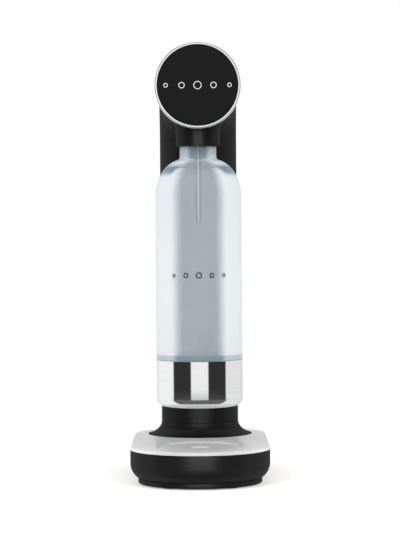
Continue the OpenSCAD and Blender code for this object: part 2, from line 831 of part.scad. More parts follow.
module knob_hub() {
  r = ring_r - ring_w - 0.05;
  color(dark_plastic) along_y(knob_front_y + disc_sink + disc_t) difference() {
    union() {
      cylinder(r = r, h = 3);
      cylinder(r = shaft_r + 4, h = knob_depth - disc_sink - disc_t);
      for (a = [0:60:300]) rotate([0, 0, a]) translate([0, -1, 0]) cube([r - 1, 2, 5]);
    }
    translate([0, 0, -1]) cylinder(r = shaft_r, h = 30);
  }
}

module knob_shaft() {
  y0 = knob_front_y + disc_sink + disc_t;
  color(steel) along_y(y0) cylinder(r = shaft_r, h = column_y + cam_w / 2 + 1 - y0);
}

// Radius of the cam at an angle from straight down: a straight rise, then a smooth return
function cam_r(a) =
  let (rise_end = knob_turn + 15, back_end = 340)
    a <= rise_end ? cam_base_r + plunger_travel * a / knob_turn
    : a < back_end
      ? cam_base_r + plunger_travel * rise_end / knob_turn
        * (0.5 + 0.5 * cos(180 * (a - rise_end) / (back_end - rise_end)))
      : cam_base_r;

module knob_cam() {
  color(steel) along_y(column_y - cam_w / 2) difference() {
    linear_extrude(cam_w) polygon([for (a = [0:5:355]) [cam_r(a) * sin(a), cam_r(a) * cos(a)]]);
    translate([0, 0, -1]) cylinder(r = shaft_r, h = cam_w + 2);
  }
}

module shaft_clip() {
  color(steel) along_y(column_y - 11.7) difference() {
    tube(shaft_r + 2.2, shaft_r, 1.2);
    translate([-1.5, 0, -1]) cube([3, 20, 4]);
  }
}

// ---------- bottle holder ----------

module holder_body() {
  bore_top = neck_top_z + 0.3 + neck_seal_t;
  color(black) difference() {
    union() {
      translate([0, bottle_y, collar_z]) cylinder(r = collar_r, h = 20);
      intersection() {
        translate([0, bottle_y, hinge_z]) sphere(r = ball_r);
        translate([-40, bottle_y - 40, hinge_z - 20]) cube([80, 80, 20 - hinge_pin_r - 3.2]);
      }
      intersection() {
        translate([0, bottle_y, hinge_z]) sphere(r = ball_r);
        translate([-cheek_x, bottle_y - holder_half, hinge_z - 10])
          cube([2 * cheek_x, 2 * holder_half, 10 + holder_top]);
      }
    }
    translate([0, bottle_y, collar_z - 1]) cylinder(r = neck_r + neck_fit, h = bore_top - collar_z + 1);
    translate([0, bottle_y, collar_z + 4]) cylinder(r = neck_r + 1.2, h = 2.5);
    translate([0, bottle_y, bore_top - 1]) cylinder(r = 11, h = 4.5);
    translate([0, bottle_y, bore_top + 2]) cylinder(r = 4, h = 6);
    translate([0, bottle_y, bore_top + 2]) cylinder(r = 1.2, h = hinge_z - bore_top - 1, $fn = 24);
    translate([0, bottle_y, hinge_z]) rotate([0, 90, 0]) cylinder(r = 1.2, h = 20, $fn = 24);
    for (side = [0, 1]) mirror([side, 0, 0]) translate([cheek_x - 5.2, bottle_y, hinge_z])
      rotate([0, 90, 0]) cylinder(r = hinge_pin_r + run_fit, h = 30);
    relief_place() translate([0, 0, -20]) cylinder(r = 1.4, h = 40, $fn = 24);
    relief_place() cylinder(r = 3.2, h = 20);
  }
}

// Middle of the relief valve's seat, on the floor of its pocket
module relief_place() {
  translate([0, bottle_y + 8.5, hinge_z + 3]) children();
}

module relief_poppet() {
  color(brass) relief_place() {
    cylinder(r = 3.2 - run_fit, h = 2.2);
    cylinder(r = 1.2, h = 8, $fn = 24);
  }
}

module relief_spring() {
  color(steel) relief_place() translate([0, 0, 2.3]) coil(2.2, 0.35, 6.2, 5);
}

module neck_seal() {
  color(rubber) translate([0, bottle_y, neck_top_z + 0.3]) tube(neck_r + neck_fit, 12, neck_seal_t);
}

module lock_ring() {
  color(steel) translate([0, bottle_y, collar_z + 4]) difference() {
    tube(neck_r + 1.2, neck_r + neck_fit, 2.5);
    translate([-2, 0, -1]) cube([4, 30, 5]);
  }
}

module nozzle_tube() {
  top = neck_top_z + 0.3 + neck_seal_t + 8;
  tip_z = neck_top_z - nozzle_reach;
  color(dark_plastic) translate([0, bottle_y, 0]) difference() {
    union() {
      translate([0, 0, tip_z + 8]) cylinder(r = nozzle_d / 2, h = top - 8 - tip_z);
      translate([0, 0, top - 8]) cylinder(r = 4, h = 8);
      translate([0, 0, top - 10.5]) cylinder(r = 9, h = 4.5);
    }
    translate([0, 0, tip_z - 1]) cylinder(r = 1.2, h = 200, $fn = 24);
  }
}

module nozzle_tip() {
  tip_z = neck_top_z - nozzle_reach;
  color(dark_plastic) translate([0, bottle_y, tip_z]) rotate_extrude() polygon([
    [0.5, 0], [nozzle_d / 2 - 1, 0], [nozzle_d / 2, 4], [nozzle_d / 2, 8],
    [1.2, 8], [1.2, 3], [0.5, 2]
  ]);
}

// ---------- bottle ----------

// Outer wall of the bottle, from its foot to the top of its neck, moved in by inset
function bottle_outline(inset) =
  let (r = bottle_r - inset, foot = bottle_z + 3 + inset, low_r = bottle_r - cup_sheet - 0.1 - inset,
       foot_r = 10 - inset, neck = neck_r - (inset > 0 ? neck_wall : 0),
       side = shoulder_z - (inset > 0 ? 0.4 * inset : 0))
    concat([[0, foot]],
           arc(low_r - foot_r, foot + foot_r, foot_r, -90, 0),
           [[low_r, cup_top_z + 0.2 + inset], [r, cup_top_z + 0.7 + inset]],
           [for (p = quarter(shoulder_in, side, r - shoulder_in, shoulder_h - 0.6 * inset))
             if (p[0] > neck + neck_fillet - 1) p],
           [[neck + 1.2, shoulder_z + shoulder_h + 1.6 - 0.6 * inset],
            [neck, shoulder_z + shoulder_h + 4.6 - 0.6 * inset]]);

module bottle() {
  color(clear_blue) translate([0, bottle_y, 0]) difference() {
    rotate_extrude() polygon(concat(bottle_outline(0), [[neck_r, neck_top_z], [0, neck_top_z]]));
    rotate_extrude() polygon(concat(
      bottle_outline(bottle_wall), [[neck_r - neck_wall, neck_top_z + 1], [0, neck_top_z + 1]]
    ));
  }
}

module bottle_cup() {
  ri = bottle_r - cup_sheet;
  color(chrome) translate([0, bottle_y, 0]) rotate_extrude() polygon(concat(
    [[0, bottle_z]],
    arc(bottle_r - cup_round, bottle_z + cup_round, cup_round, -90, 0),
    [[bottle_r, cup_top_z], [ri, cup_top_z]],
    arc(bottle_r - cup_round, bottle_z + cup_round, cup_round - cup_sheet, 0, -90),
    [[0, bottle_z + cup_sheet]]
  ));
}

// ---------- drawing ----------

base_body();
base_pan();
rubber_feet();
base_screws();
top_plate();
drain_cup();
cylinder_cup();
column_spine();
spine_screws();
column_foot();
front_shell();
under_shell();
top_shell();
shell_screws();
rear_cover();
cover_magnets();
catch_magnets();
valve_bracket();
valve_block();
valve_block_screws();
burst_disc();
plunger_seal();
head_frame();
frame_screws();
front_plate();
front_bearing();
rear_bearing();
knob_spring();
gas_tube();
tube_nuts();
swivel_union();
hinge_pin();
knob_disc();
knob_ring();
knob_hub();
knob_shaft();
knob_cam();
shaft_clip();
plunger();
plunger_spring();
cylinder_seal();
gas_cylinder();
cylinder_valve();
valve_pin_spring();
valve_pin();
holder_body();
neck_seal();
lock_ring();
nozzle_tube();
nozzle_tip();
relief_spring();
relief_poppet();
bottle();
bottle_cup();
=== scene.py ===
"""Looks of a table-top soda carbonator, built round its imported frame.

Every length is in metres, in the frame's own axes: +Z is up and the front is towards -Y. Places and overall
sizes are read from the frame's nodes, and each class holds only the sizes of its own details.
"""

import json
import logging
import math
from collections.abc import Iterable, Sequence
from dataclasses import dataclass, replace
from enum import Enum
from typing import Any

import bmesh
import bpy
from mathutils import Matrix, Vector


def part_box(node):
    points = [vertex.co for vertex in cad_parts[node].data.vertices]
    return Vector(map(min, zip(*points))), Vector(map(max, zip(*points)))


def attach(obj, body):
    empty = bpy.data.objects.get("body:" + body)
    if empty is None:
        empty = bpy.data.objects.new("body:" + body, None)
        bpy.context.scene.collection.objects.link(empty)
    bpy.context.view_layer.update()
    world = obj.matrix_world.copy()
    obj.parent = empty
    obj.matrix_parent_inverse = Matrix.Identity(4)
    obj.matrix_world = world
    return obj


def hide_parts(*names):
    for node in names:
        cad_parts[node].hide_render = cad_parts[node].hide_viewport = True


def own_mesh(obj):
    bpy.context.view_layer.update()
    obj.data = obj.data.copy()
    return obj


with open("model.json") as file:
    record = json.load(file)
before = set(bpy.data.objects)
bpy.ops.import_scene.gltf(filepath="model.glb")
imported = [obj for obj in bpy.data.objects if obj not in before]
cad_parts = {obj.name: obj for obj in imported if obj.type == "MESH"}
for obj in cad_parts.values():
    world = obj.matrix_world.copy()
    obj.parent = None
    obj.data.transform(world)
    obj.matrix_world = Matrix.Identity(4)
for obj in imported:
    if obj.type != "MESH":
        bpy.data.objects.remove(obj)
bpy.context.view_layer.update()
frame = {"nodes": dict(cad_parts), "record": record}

LOG = logging.getLogger("soda_carbonator")
MM = 0.001
TINY = 1e-6
PAST = 1 * MM
TONE_SIZE = 35 * MM
MARK_SPAN = (0.3, 0.7)
STREAK_SPAN = (0.35, 0.65)
FLAT_TURNS = 0.8

Colour = tuple[float, float, float]
Point2 = tuple[float, float]
Corner = tuple[float, float, float]
Profile = list[Point2]
Box = tuple[Vector, Vector]
Piece = bpy.types.Object
Socket = bpy.types.NodeSocket


# ---------------------------------------------------------------- named options


class Slot(Enum):
    """Material slots of the record."""

    SATIN_BLACK = "satin_black"
    DISC_BLACK = "disc_black"
    INNER_PLASTIC = "inner_plastic"
    BRUSHED_PLATE = "brushed_plate"
    POLISHED_STEEL = "polished_steel"
    KNOB_CHROME = "knob_chrome"
    ZINC_STEEL = "zinc_steel"
    SPRING_STEEL = "spring_steel"
    CAST_ALLOY = "cast_alloy"
    CYLINDER_STEEL = "cylinder_steel"
    VALVE_BRASS = "valve_brass"
    FOOT_RUBBER = "foot_rubber"
    SEAL_RUBBER = "seal_rubber"
    NOZZLE_PLASTIC = "nozzle_plastic"
    BOTTLE_CLEAR = "bottle_clear"


class Axis(Enum):
    """Axis that a turned piece is made about."""

    UPRIGHT = "z"
    DEEP = "y"


class Lay(Enum):
    """Direction of the fine tool marks, as the scale of their pattern along each axis."""

    ACROSS = (0.02, 1.0, 1.0)
    TURNED_UPRIGHT = (0.02, 0.02, 1.0)
    TURNED_DEEP = (0.02, 1.0, 0.02)
    GRAINED = (1.0, 1.0, 1.0)


class Side(Enum):
    """Half of the bent tube that a shell covers, seen from the bend's own centre."""

    INNER = 1.0
    OUTER = -1.0


# ---------------------------------------------------------------- node trees


class Graph:
    """A shader or geometry tree that is written one node at a time."""

    def __init__(self, tree: bpy.types.NodeTree) -> None:
        """Starts writing in a tree.

        Args:
            tree: The tree that the nodes go into.
        """
        self.tree = tree

    def add(self, kind: str, inputs: dict[str | int, Any] | None = None, **settings: Any) -> bpy.types.Node:
        """Adds a node.

        Args:
            kind: Blender's name of the node's type.
            inputs: Values or output sockets for the node's inputs, by name or number.
            **settings: Other properties of the node.

        Returns:
            The new node.
        """
        node = self.tree.nodes.new(kind)
        for name, value in settings.items():
            setattr(node, name, value)
        for key, value in (inputs or {}).items():
            if isinstance(value, Socket):
                self.tree.links.new(value, node.inputs[key])
            else:
                node.inputs[key].default_value = value
        return node

    def math(self, operation: str, first: Any, second: Any = 0.0) -> Socket:
        """Adds a Math node and returns its output."""
        return self.add("ShaderNodeMath", {0: first, 1: second}, operation=operation).outputs[0]

    def span(self, value: Any, low: float, high: float, start: float = 0.0, end: float = 1.0) -> Socket:
        """Maps a value from low..high, with the ends held, to start..end.

        Args:
            value: The socket to map.
            low: Value that gives start.
            high: Value that gives end.
            start: Result at low and below.
            end: Result at high and above.

        Returns:
            The output socket.
        """
        limits = {"From Min": low, "From Max": high, "To Min": start, "To Max": end}
        node = self.add("ShaderNodeMapRange", {"Value": value, **limits}, interpolation_type="SMOOTHSTEP")
        return node.outputs["Result"]

    def between(self, value: Any, starts: Point2, ends: Point2) -> Socket:
        """Returns 1 inside a range and 0 outside it, with soft ends.

        Args:
            value: The socket to look at.
            starts: Where the result leaves 0 and where it reaches 1.
            ends: Where it leaves 1 and where it is back at 0.

        Returns:
            The output socket.
        """
        return self.times(self.span(value, *starts), self.span(value, *ends, 1.0, 0.0))

    def times(self, first: Any, second: Any) -> Socket:
        """Returns the product of two values."""
        return self.math("MULTIPLY", first, second)

    def higher(self, first: Any, second: Any) -> Socket:
        """Returns the greater of two values."""
        return self.math("MAXIMUM", first, second)

    def mix(self, share: Any, first: Socket, second: Socket) -> Socket:
        """Mixes two shaders by the second one's share."""
        return self.add("ShaderNodeMixShader", {0: share, 1: first, 2: second}).outputs[0]

    def noise(self, place: Any, size: float, detail: float = 3.0) -> Socket:
        """Adds soft noise whose lumps are about size across, and returns its value."""
        inputs = {"Vector": place, "Scale": 1.0 / size, "Detail": detail}
        return self.add("ShaderNodeTexNoise", inputs).outputs["Fac"]

    def facing(self) -> Socket:
        """Returns how far the surface turns away: 0 where it faces the eye, 1 at its edge."""
        return self.add("ShaderNodeLayerWeight", {"Blend": 0.5}).outputs["Facing"]

    def blend(self, factor: Any, first: Any, second: Any) -> Socket:
        """Mixes two colours.

        Args:
            factor: Share of the second colour.
            first: Colour at 0.
            second: Colour at 1.

        Returns:
            The mixed colour's socket.
        """
        node = self.add("ShaderNodeMix", {0: factor}, data_type="RGBA")
        for number, colour in ((6, first), (7, second)):
            if isinstance(colour, Socket):
                self.tree.links.new(colour, node.inputs[number])
            else:
                node.inputs[number].default_value = (*colour, 1.0)
        return node.outputs[2]


def empty_tree(owner: bpy.types.Material | bpy.types.World) -> Graph:
    """Empties the tree of a new material or world.

    Args:
        owner: The material or world.

    Returns:
        The empty tree, ready for writing.
    """
    owner.use_nodes = True
    owner.node_tree.nodes.clear()
    return Graph(owner.node_tree)


# ---------------------------------------------------------------- finishes


@dataclass(frozen=True)
class Finish:
    """A surface finish with a fine grain and a slow change of tone."""

    slot: Slot
    colour: Colour
    roughness: float
    specular: float = 0.5
    metallic: float = 0.0
    grain: float = 0.7 * MM
    relief: float = 0.02 * MM
    rough_change: float = 0.12
    tone_change: float = 0.1
    lay: Lay = Lay.GRAINED

    def material(self) -> bpy.types.Material:
        """Returns the finish's material, which is built on first use."""
        name = self.slot.value + "_finish"
        made = bpy.data.materials.get(name)
        if made is None:
            made = bpy.data.materials.new(name)
            graph = empty_tree(made)
            place = graph.add("ShaderNodeTexCoord").outputs["Object"]
            graph.add("ShaderNodeOutputMaterial", {"Surface": self.shade(graph, place)})
        return made

    def marks(self, graph: Graph, place: Socket) -> Socket:
        """Returns the value of the fine marks, drawn out along the finish's lay."""
        drawn = graph.add("ShaderNodeMapping", {"Vector": place, "Scale": self.lay.value}).outputs["Vector"]
        return graph.noise(drawn, self.grain, 4.0)

    def tone(self, graph: Graph, place: Socket) -> Socket:
        """Returns the base colour with its slow change of tone.

        Args:
            graph: The material's tree.
            place: The point in object coordinates.

        Returns:
            The colour's socket.
        """
        low = tuple(c * (1 - self.tone_change) for c in self.colour)
        high = tuple(min(1.0, c * (1 + self.tone_change)) for c in self.colour)
        return graph.blend(graph.noise(place, TONE_SIZE), low, high)

    def principled(self, graph: Graph, place: Socket, **more: Any) -> bpy.types.Node:
        """Adds the finish's main shader.

        Args:
            graph: The material's tree.
            place: The point in object coordinates.
            **more: Constant inputs of the shader, with _ for each space in the name.

        Returns:
            The Principled BSDF node.
        """
        marks = self.marks(graph, place)
        smooth, dull = self.roughness * (1 - self.rough_change), self.roughness * (1 + self.rough_change)
        rough = graph.span(marks, *MARK_SPAN, smooth, dull)
        bump = graph.add("ShaderNodeBump", {"Height": marks, "Distance": self.relief, "Strength": 1.0})
        inputs = {
            "Base Color": self.tone(graph, place),
            "Roughness": rough,
            "Normal": bump.outputs["Normal"],
            "Metallic": self.metallic,
            "Specular IOR Level": self.specular,
        }
        constants = {name.replace("_", " "): value for name, value in more.items()}
        return graph.add("ShaderNodeBsdfPrincipled", {**inputs, **constants})

    def shade(self, graph: Graph, place: Socket) -> Socket:
        """Returns the finished shader's output."""
        return self.principled(graph, place).outputs["BSDF"]

    def dress(self, piece: Piece) -> None:
        """Makes this finish the piece's only material.

        Args:
            piece: The finished piece.
        """
        piece.data.materials.clear()
        piece.data.materials.append(self.material())
        for face in piece.data.polygons:
            face.material_index = 0

    def dress_node(self, node: str) -> None:
        """Gives a CAD node this finish."""
        for slot in frame["nodes"][node].material_slots:
            slot.material = self.material()


@dataclass(frozen=True)
class BrushedMetal(Finish):
    """Metal with drawn tool marks, bright where they catch the light."""

    metallic: float = 1.0
    streak: float = 0.25

    def tone(self, graph: Graph, place: Socket) -> Socket:
        """Returns the metal's colour, darker in the deeper marks.

        Args:
            graph: The material's tree.
            place: The point in object coordinates.

        Returns:
            The colour's socket.
        """
        deep = tuple(c * (1 - self.streak) for c in self.colour)
        streaks = graph.span(self.marks(graph, place), *STREAK_SPAN)
        return graph.blend(streaks, deep, self.colour)


@dataclass(frozen=True)
class SatinPaint(Finish):
    """Satin paint: a soft sheen where it faces the eye, and a flat, even tone where it turns away."""

    flank: Colour = (0.0115, 0.0115, 0.0122)
    share: float = 0.85
    faces: float = 0.015
    turns: float = 0.11

    def shade(self, graph: Graph, place: Socket) -> Socket:
        """Returns the sheen, mixed with the flat tone by how far the surface turns away.

        Args:
            graph: The material's tree.
            place: The point in object coordinates.

        Returns:
            The mixed shader's socket.
        """
        sheen = self.principled(graph, place).outputs["BSDF"]
        low = tuple(c * (1 - self.tone_change) for c in self.flank)
        tone = graph.blend(graph.noise(place, TONE_SIZE), low, self.flank)
        flat = graph.add("ShaderNodeBsdfDiffuse", {"Color": tone}).outputs[0]
        share = graph.span(graph.facing(), self.faces, self.turns, 0.0, self.share)
        return graph.mix(share, sheen, flat)


@dataclass(frozen=True)
class ClearBottle(Finish):
    """Clear blown plastic: see-through where it faces the eye, veiled where it turns away with a painted
    reflection of the pale surround there, blue where thick.

    The heights are the bottle's own, and are set when it is built.
    """

    # edge_colour: painted paler than the body's colour, a painted reflection of the pale surround at the
    # bottle's sides.
    edge_colour: Colour = (0.93, 0.95, 0.96)
    thick_colour: Colour = (0.22, 0.36, 0.43)
    line_colour: Colour = (0.08, 0.16, 0.25)
    clear_colour: Colour = (0.97, 0.985, 0.99)
    middle: float = 0.265
    side: float = 0.72
    faces: float = 0.07
    turns: float = 0.26
    glow: float = 0.35
    thick_veil: float = 0.7
    neck_tint: float = 0.5
    foot_band: float = 5.6 * MM
    line_drop: float = 9 * MM
    line_width: float = 0.8 * MM
    line_tint: float = 0.5
    neck_span: Point2 = (-6 * MM, 9 * MM)
    patch_starts: Point2 = (0.34, 0.46)
    patch_ends: Point2 = (0.8, 0.95)
    patch_soft: float = 3 * MM
    ring_starts: Point2 = (0.01, 0.05)
    ring_ends: Point2 = (0.14, 0.2)
    ring_soft: float = 0.5 * MM
    ring_depth: Point2 = (0.4, 0.95)
    least_across: float = 0.15
    cup_top: float = 0.0
    shoulder_low: float = 0.0
    shoulder_high: float = 0.0
    neck_low: float = 0.0

    def band(self, graph: Graph, height: Any, low: float, high: float, soft: float) -> Socket:
        """Returns 1 between two heights and 0 elsewhere, with soft ends.

        Args:
            graph: The material's tree.
            height: The point's height.
            low: Where the band starts.
            high: Where it ends.
            soft: Half the length of each soft end.

        Returns:
            The output socket.
        """
        return graph.between(height, (low - soft, low + soft), (high - soft, high + soft))

    def shade(self, graph: Graph, place: Socket) -> Socket:
        """Returns the shader: a veil of pale plastic over what lies behind, under a gloss.

        Args:
            graph: The material's tree.
            place: The point in object coordinates.

        Returns:
            The mixed shader's socket.
        """
        height = graph.add("ShaderNodeSeparateXYZ", {0: place}).outputs[2]
        turned = graph.facing()
        aside = self.turned_aside(graph, turned)
        patch, ring = self.shoulder_patch(graph, turned, height), self.foot_ring(graph, turned, height)
        thick = graph.higher(patch, ring)
        body = self.principled(graph, place)
        colour = self.colours(graph, place, aside, thick, height)
        graph.tree.links.new(colour, body.inputs["Base Color"])
        through = graph.add("ShaderNodeBsdfTranslucent", {"Color": colour})
        lit = graph.mix(self.glow, body.outputs["BSDF"], through.outputs[0])
        clear = graph.add("ShaderNodeBsdfTransparent", {"Color": (*self.clear_colour, 1.0)})
        veil = graph.span(aside, self.faces, self.turns, self.middle, self.side)
        veil = graph.higher(veil, graph.times(thick, self.thick_veil))
        return graph.mix(veil, clear.outputs[0], lit)

    def colours(self, graph: Graph, place: Any, aside: Any, thick: Any, height: Any) -> Socket:
        """Returns the veil's colour: painted paler at the sides as a painted reflection of the pale surround,
        blue where thick, with a thin line under the neck.

        Args:
            graph: The material's tree.
            place: The point in object coordinates.
            aside: How far the wall turns away sideways.
            thick: How thick the wall looks, from 0 to 1.
            height: The point's height.

        Returns:
            The colour's socket.
        """
        # Painted reflection: the colour turns paler towards the sides, standing in for the pale surround
        # reflected there.
        away = graph.span(aside, self.faces, self.turns)
        pale = graph.blend(away, self.tone(graph, place), self.edge_colour)
        neck_low, neck_high = (self.neck_low + step for step in self.neck_span)
        neck = graph.span(height, neck_low, neck_high, 0.0, self.neck_tint)
        line_low = self.neck_low - self.line_drop
        line = self.band(graph, height, line_low, line_low + self.line_width, self.line_width / 2)
        tinted = graph.blend(graph.higher(thick, neck), pale, self.thick_colour)
        return graph.blend(graph.times(line, self.line_tint), tinted, self.line_colour)

    def shoulder_patch(self, graph: Graph, turned: Any, height: Any) -> Socket:
        """Returns the thick look of the shoulder, near its edge as it is seen.

        Args:
            graph: The material's tree.
            turned: How far the wall turns away.
            height: The point's height.

        Returns:
            The output socket.
        """
        glancing = graph.between(turned, self.patch_starts, self.patch_ends)
        band = self.band(graph, height, self.shoulder_low, self.shoulder_high, self.patch_soft)
        return graph.times(glancing, band)

    def foot_ring(self, graph: Graph, turned: Any, height: Any) -> Socket:
        """Returns the thick look of the foot just above the cup, strongest beside its middle.

        Args:
            graph: The material's tree.
            turned: How far the wall turns away.
            height: The point's height.

        Returns:
            The output socket.
        """
        beside = graph.between(turned, self.ring_starts, self.ring_ends)
        ring = self.band(graph, height, self.cup_top, self.cup_top + self.foot_band, self.ring_soft)
        return graph.times(ring, graph.span(beside, 0.0, 1.0, *self.ring_depth))

    def turned_aside(self, graph: Graph, turned: Socket) -> Socket:
        """Returns how far the wall turns away sideways, whatever its slope.

        Args:
            graph: The material's tree.
            turned: How far the wall turns away in all.

        Returns:
            The output socket.
        """
        normal = graph.add("ShaderNodeTexCoord").outputs["Normal"]
        slope = graph.add("ShaderNodeSeparateXYZ", {0: normal}).outputs[2]
        across = graph.math("SQRT", graph.math("SUBTRACT", 1.0, graph.times(slope, slope)))
        across = graph.higher(across, self.least_across)
        faced = graph.math("DIVIDE", graph.math("SUBTRACT", 1.0, turned), across)
        return graph.math("SUBTRACT", 1.0, graph.math("MINIMUM", faced, 1.0))


@dataclass(frozen=True)
class TubePlastic(Finish):
    """Smoky tube plastic: pale through its middle and dark along its edges."""

    edge_colour: Colour = (0.008, 0.035, 0.09)
    faces: float = 0.015
    turns: float = 0.08

    def tone(self, graph: Graph, place: Socket) -> Socket:
        """Returns the tube's colour, darker where it turns away.

        Args:
            graph: The material's tree.
            place: The point in object coordinates.

        Returns:
            The colour's socket.
        """
        away = graph.span(graph.facing(), self.faces, self.turns)
        return graph.blend(away, super().tone(graph, place), self.edge_colour)


@dataclass(frozen=True)
class Finishes:
    """Every finish of the machine."""

    satin: Finish = SatinPaint(Slot.SATIN_BLACK, (0.0085, 0.0085, 0.009), 0.3, 0.68, relief=0.008 * MM)
    disc: Finish = Finish(
        Slot.DISC_BLACK, (0.0105, 0.0105, 0.011), 0.6, 0.12, grain=0.4 * MM, relief=0.01 * MM
    )
    inner: Finish = Finish(Slot.INNER_PLASTIC, (0.05, 0.05, 0.056), 0.55, grain=0.5 * MM, relief=0.03 * MM)
    plate: Finish = BrushedMetal(
        Slot.BRUSHED_PLATE, (0.93, 0.93, 0.935), 0.5, metallic=0.5, grain=0.35 * MM, relief=0.004 * MM,
        streak=0.12, lay=Lay.ACROSS,
    )
    polished: Finish = BrushedMetal(
        Slot.POLISHED_STEEL, (0.84, 0.845, 0.85), 0.05, grain=0.5 * MM, relief=0.0004 * MM, streak=0.04,
        lay=Lay.TURNED_UPRIGHT,
    )
    chrome: Finish = BrushedMetal(
        Slot.KNOB_CHROME, (0.88, 0.885, 0.89), 0.05, grain=0.6 * MM, relief=0.0005 * MM, streak=0.03,
        lay=Lay.TURNED_DEEP,
    )
    zinc: Finish = BrushedMetal(Slot.ZINC_STEEL, (0.6, 0.61, 0.62), 0.33, grain=0.3 * MM, relief=0.004 * MM)
    spring: Finish = BrushedMetal(
        Slot.SPRING_STEEL, (0.42, 0.43, 0.45), 0.3, grain=0.25 * MM, relief=0.004 * MM
    )
    alloy: Finish = BrushedMetal(Slot.CAST_ALLOY, (0.5, 0.51, 0.53), 0.5, grain=0.9 * MM, relief=0.03 * MM)
    lacquer: Finish = BrushedMetal(
        Slot.CYLINDER_STEEL, (0.5, 0.52, 0.55), 0.36, grain=0.8 * MM, relief=0.004 * MM, streak=0.12,
        lay=Lay.TURNED_UPRIGHT,
    )
    brass: Finish = BrushedMetal(
        Slot.VALVE_BRASS, (0.7, 0.5, 0.2), 0.28, grain=0.3 * MM, relief=0.004 * MM, lay=Lay.TURNED_UPRIGHT
    )
    foot: Finish = Finish(
        Slot.FOOT_RUBBER, (0.018, 0.018, 0.019), 0.78, 0.3, grain=0.6 * MM, relief=0.05 * MM
    )
    seal: Finish = Finish(Slot.SEAL_RUBBER, (0.03, 0.03, 0.032), 0.62, 0.35, grain=0.5 * MM, relief=0.02 * MM)
    nozzle: Finish = TubePlastic(
        Slot.NOZZLE_PLASTIC, (0.5, 0.54, 0.58), 0.3, 0.3, grain=0.9 * MM, relief=0.004 * MM
    )
    bottle: Finish = ClearBottle(Slot.BOTTLE_CLEAR, (0.74, 0.78, 0.81), 0.1, grain=9 * MM, relief=0.02 * MM)


# ---------------------------------------------------------------- outlines and meshes


def arc(centre: Point2, radius: float, start: float, end: float, steps: int = 8) -> Profile:
    """Returns points on an arc, both ends included.

    Args:
        centre: The arc's centre.
        radius: Its radius.
        start: First angle, in degrees.
        end: Last angle, in degrees.
        steps: Number of chords.
    """
    angles = [math.radians(start + (end - start) * i / steps) for i in range(steps + 1)]
    return [(centre[0] + radius * math.cos(a), centre[1] + radius * math.sin(a)) for a in angles]


def rounded(corners: Sequence[Corner], closed: bool = False, steps: int = 5) -> Profile:
    """Returns an outline with its corners rounded.

    Args:
        corners: Each corner's two coordinates and its radius, 0 for a sharp one.
        closed: Whether the last corner joins the first.
        steps: Chords in each rounded corner.
    """
    points: Profile = []
    last = len(corners) - 1
    for number, (x, y, radius) in enumerate(corners):
        if radius <= 0 or (not closed and number in (0, last)):
            points.append((x, y))
            continue
        here = Vector((x, y))
        back = Vector(corners[number - 1][:2]) - here
        ahead = Vector(corners[(number + 1) % len(corners)][:2]) - here
        half = back.angle(ahead) / 2
        reach = min(radius / math.tan(half), 0.49 * back.length, 0.49 * ahead.length)
        inwards = (back.normalized() + ahead.normalized()).normalized()
        middle = here + inwards * reach / math.cos(half)
        first = here + back.normalized() * reach - middle
        second = here + ahead.normalized() * reach - middle
        start = math.degrees(math.atan2(first.y, first.x))
        turn = math.degrees(math.atan2(second.y, second.x)) - start
        turn = (turn + 180) % 360 - 180
        points += arc((middle.x, middle.y), first.length, start, start + turn, steps)
    return points


def make_piece(name: str, points: Iterable[Sequence[float]], faces: Iterable[Sequence[int]]) -> Piece:
    """Makes a closed mesh with its faces outwards and its flat and round stretches shaded apart.

    Args:
        name: The piece's name.
        points: Its vertices.
        faces: Vertex numbers of each face.

    Returns:
        The new object, linked to the scene.
    """
    mesh = bpy.data.meshes.new(name)
    mesh.from_pydata([tuple(p) for p in points], [], [tuple(f) for f in faces])
    piece = bpy.data.objects.new(name, mesh)
    bpy.context.scene.collection.objects.link(piece)
    tidy(piece)
    return piece


def tidy(piece: Piece, angle: float = 32.0, turn_out: bool = True) -> None:
    """Merges a mesh's doubles, turns its faces outwards and shades it by angle.

    Args:
        piece: The object whose mesh is tidied.
        angle: Edges sharper than this many degrees stay crisp.
        turn_out: Whether the normals are recalculated.
    """
    work = bmesh.new()
    work.from_mesh(piece.data)
    bmesh.ops.remove_doubles(work, verts=work.verts, dist=TINY)
    if turn_out:
        bmesh.ops.recalc_face_normals(work, faces=work.faces)
    work.to_mesh(piece.data)
    work.free()
    piece.data.validate()
    piece.data.shade_smooth()
    piece.data.set_sharp_from_angle(angle=math.radians(angle))


def bake(piece: Piece) -> Piece:
    """Turns a piece's live modifiers into its plain mesh.

    Args:
        piece: The object with the modifiers.

    Returns:
        The piece.
    """
    evaluated = piece.evaluated_get(bpy.context.evaluated_depsgraph_get())
    mesh = bpy.data.meshes.new_from_object(evaluated)
    piece.modifiers.clear()
    piece.data = mesh
    return piece


def cut(piece: Piece, tool: Piece, operation: str = "DIFFERENCE") -> Piece:
    """Cuts a piece with a tool, or joins them, and removes the tool.

    Args:
        piece: The object that is changed.
        tool: The closed object that cuts it or is joined to it.
        operation: DIFFERENCE, UNION or INTERSECT.

    Returns:
        The piece.
    """
    modifier = piece.modifiers.new("cut", "BOOLEAN")
    modifier.operation = operation
    modifier.solver = "EXACT"
    modifier.object = tool
    bake(piece)
    bpy.data.objects.remove(tool)
    tidy(piece, turn_out=False)
    return piece


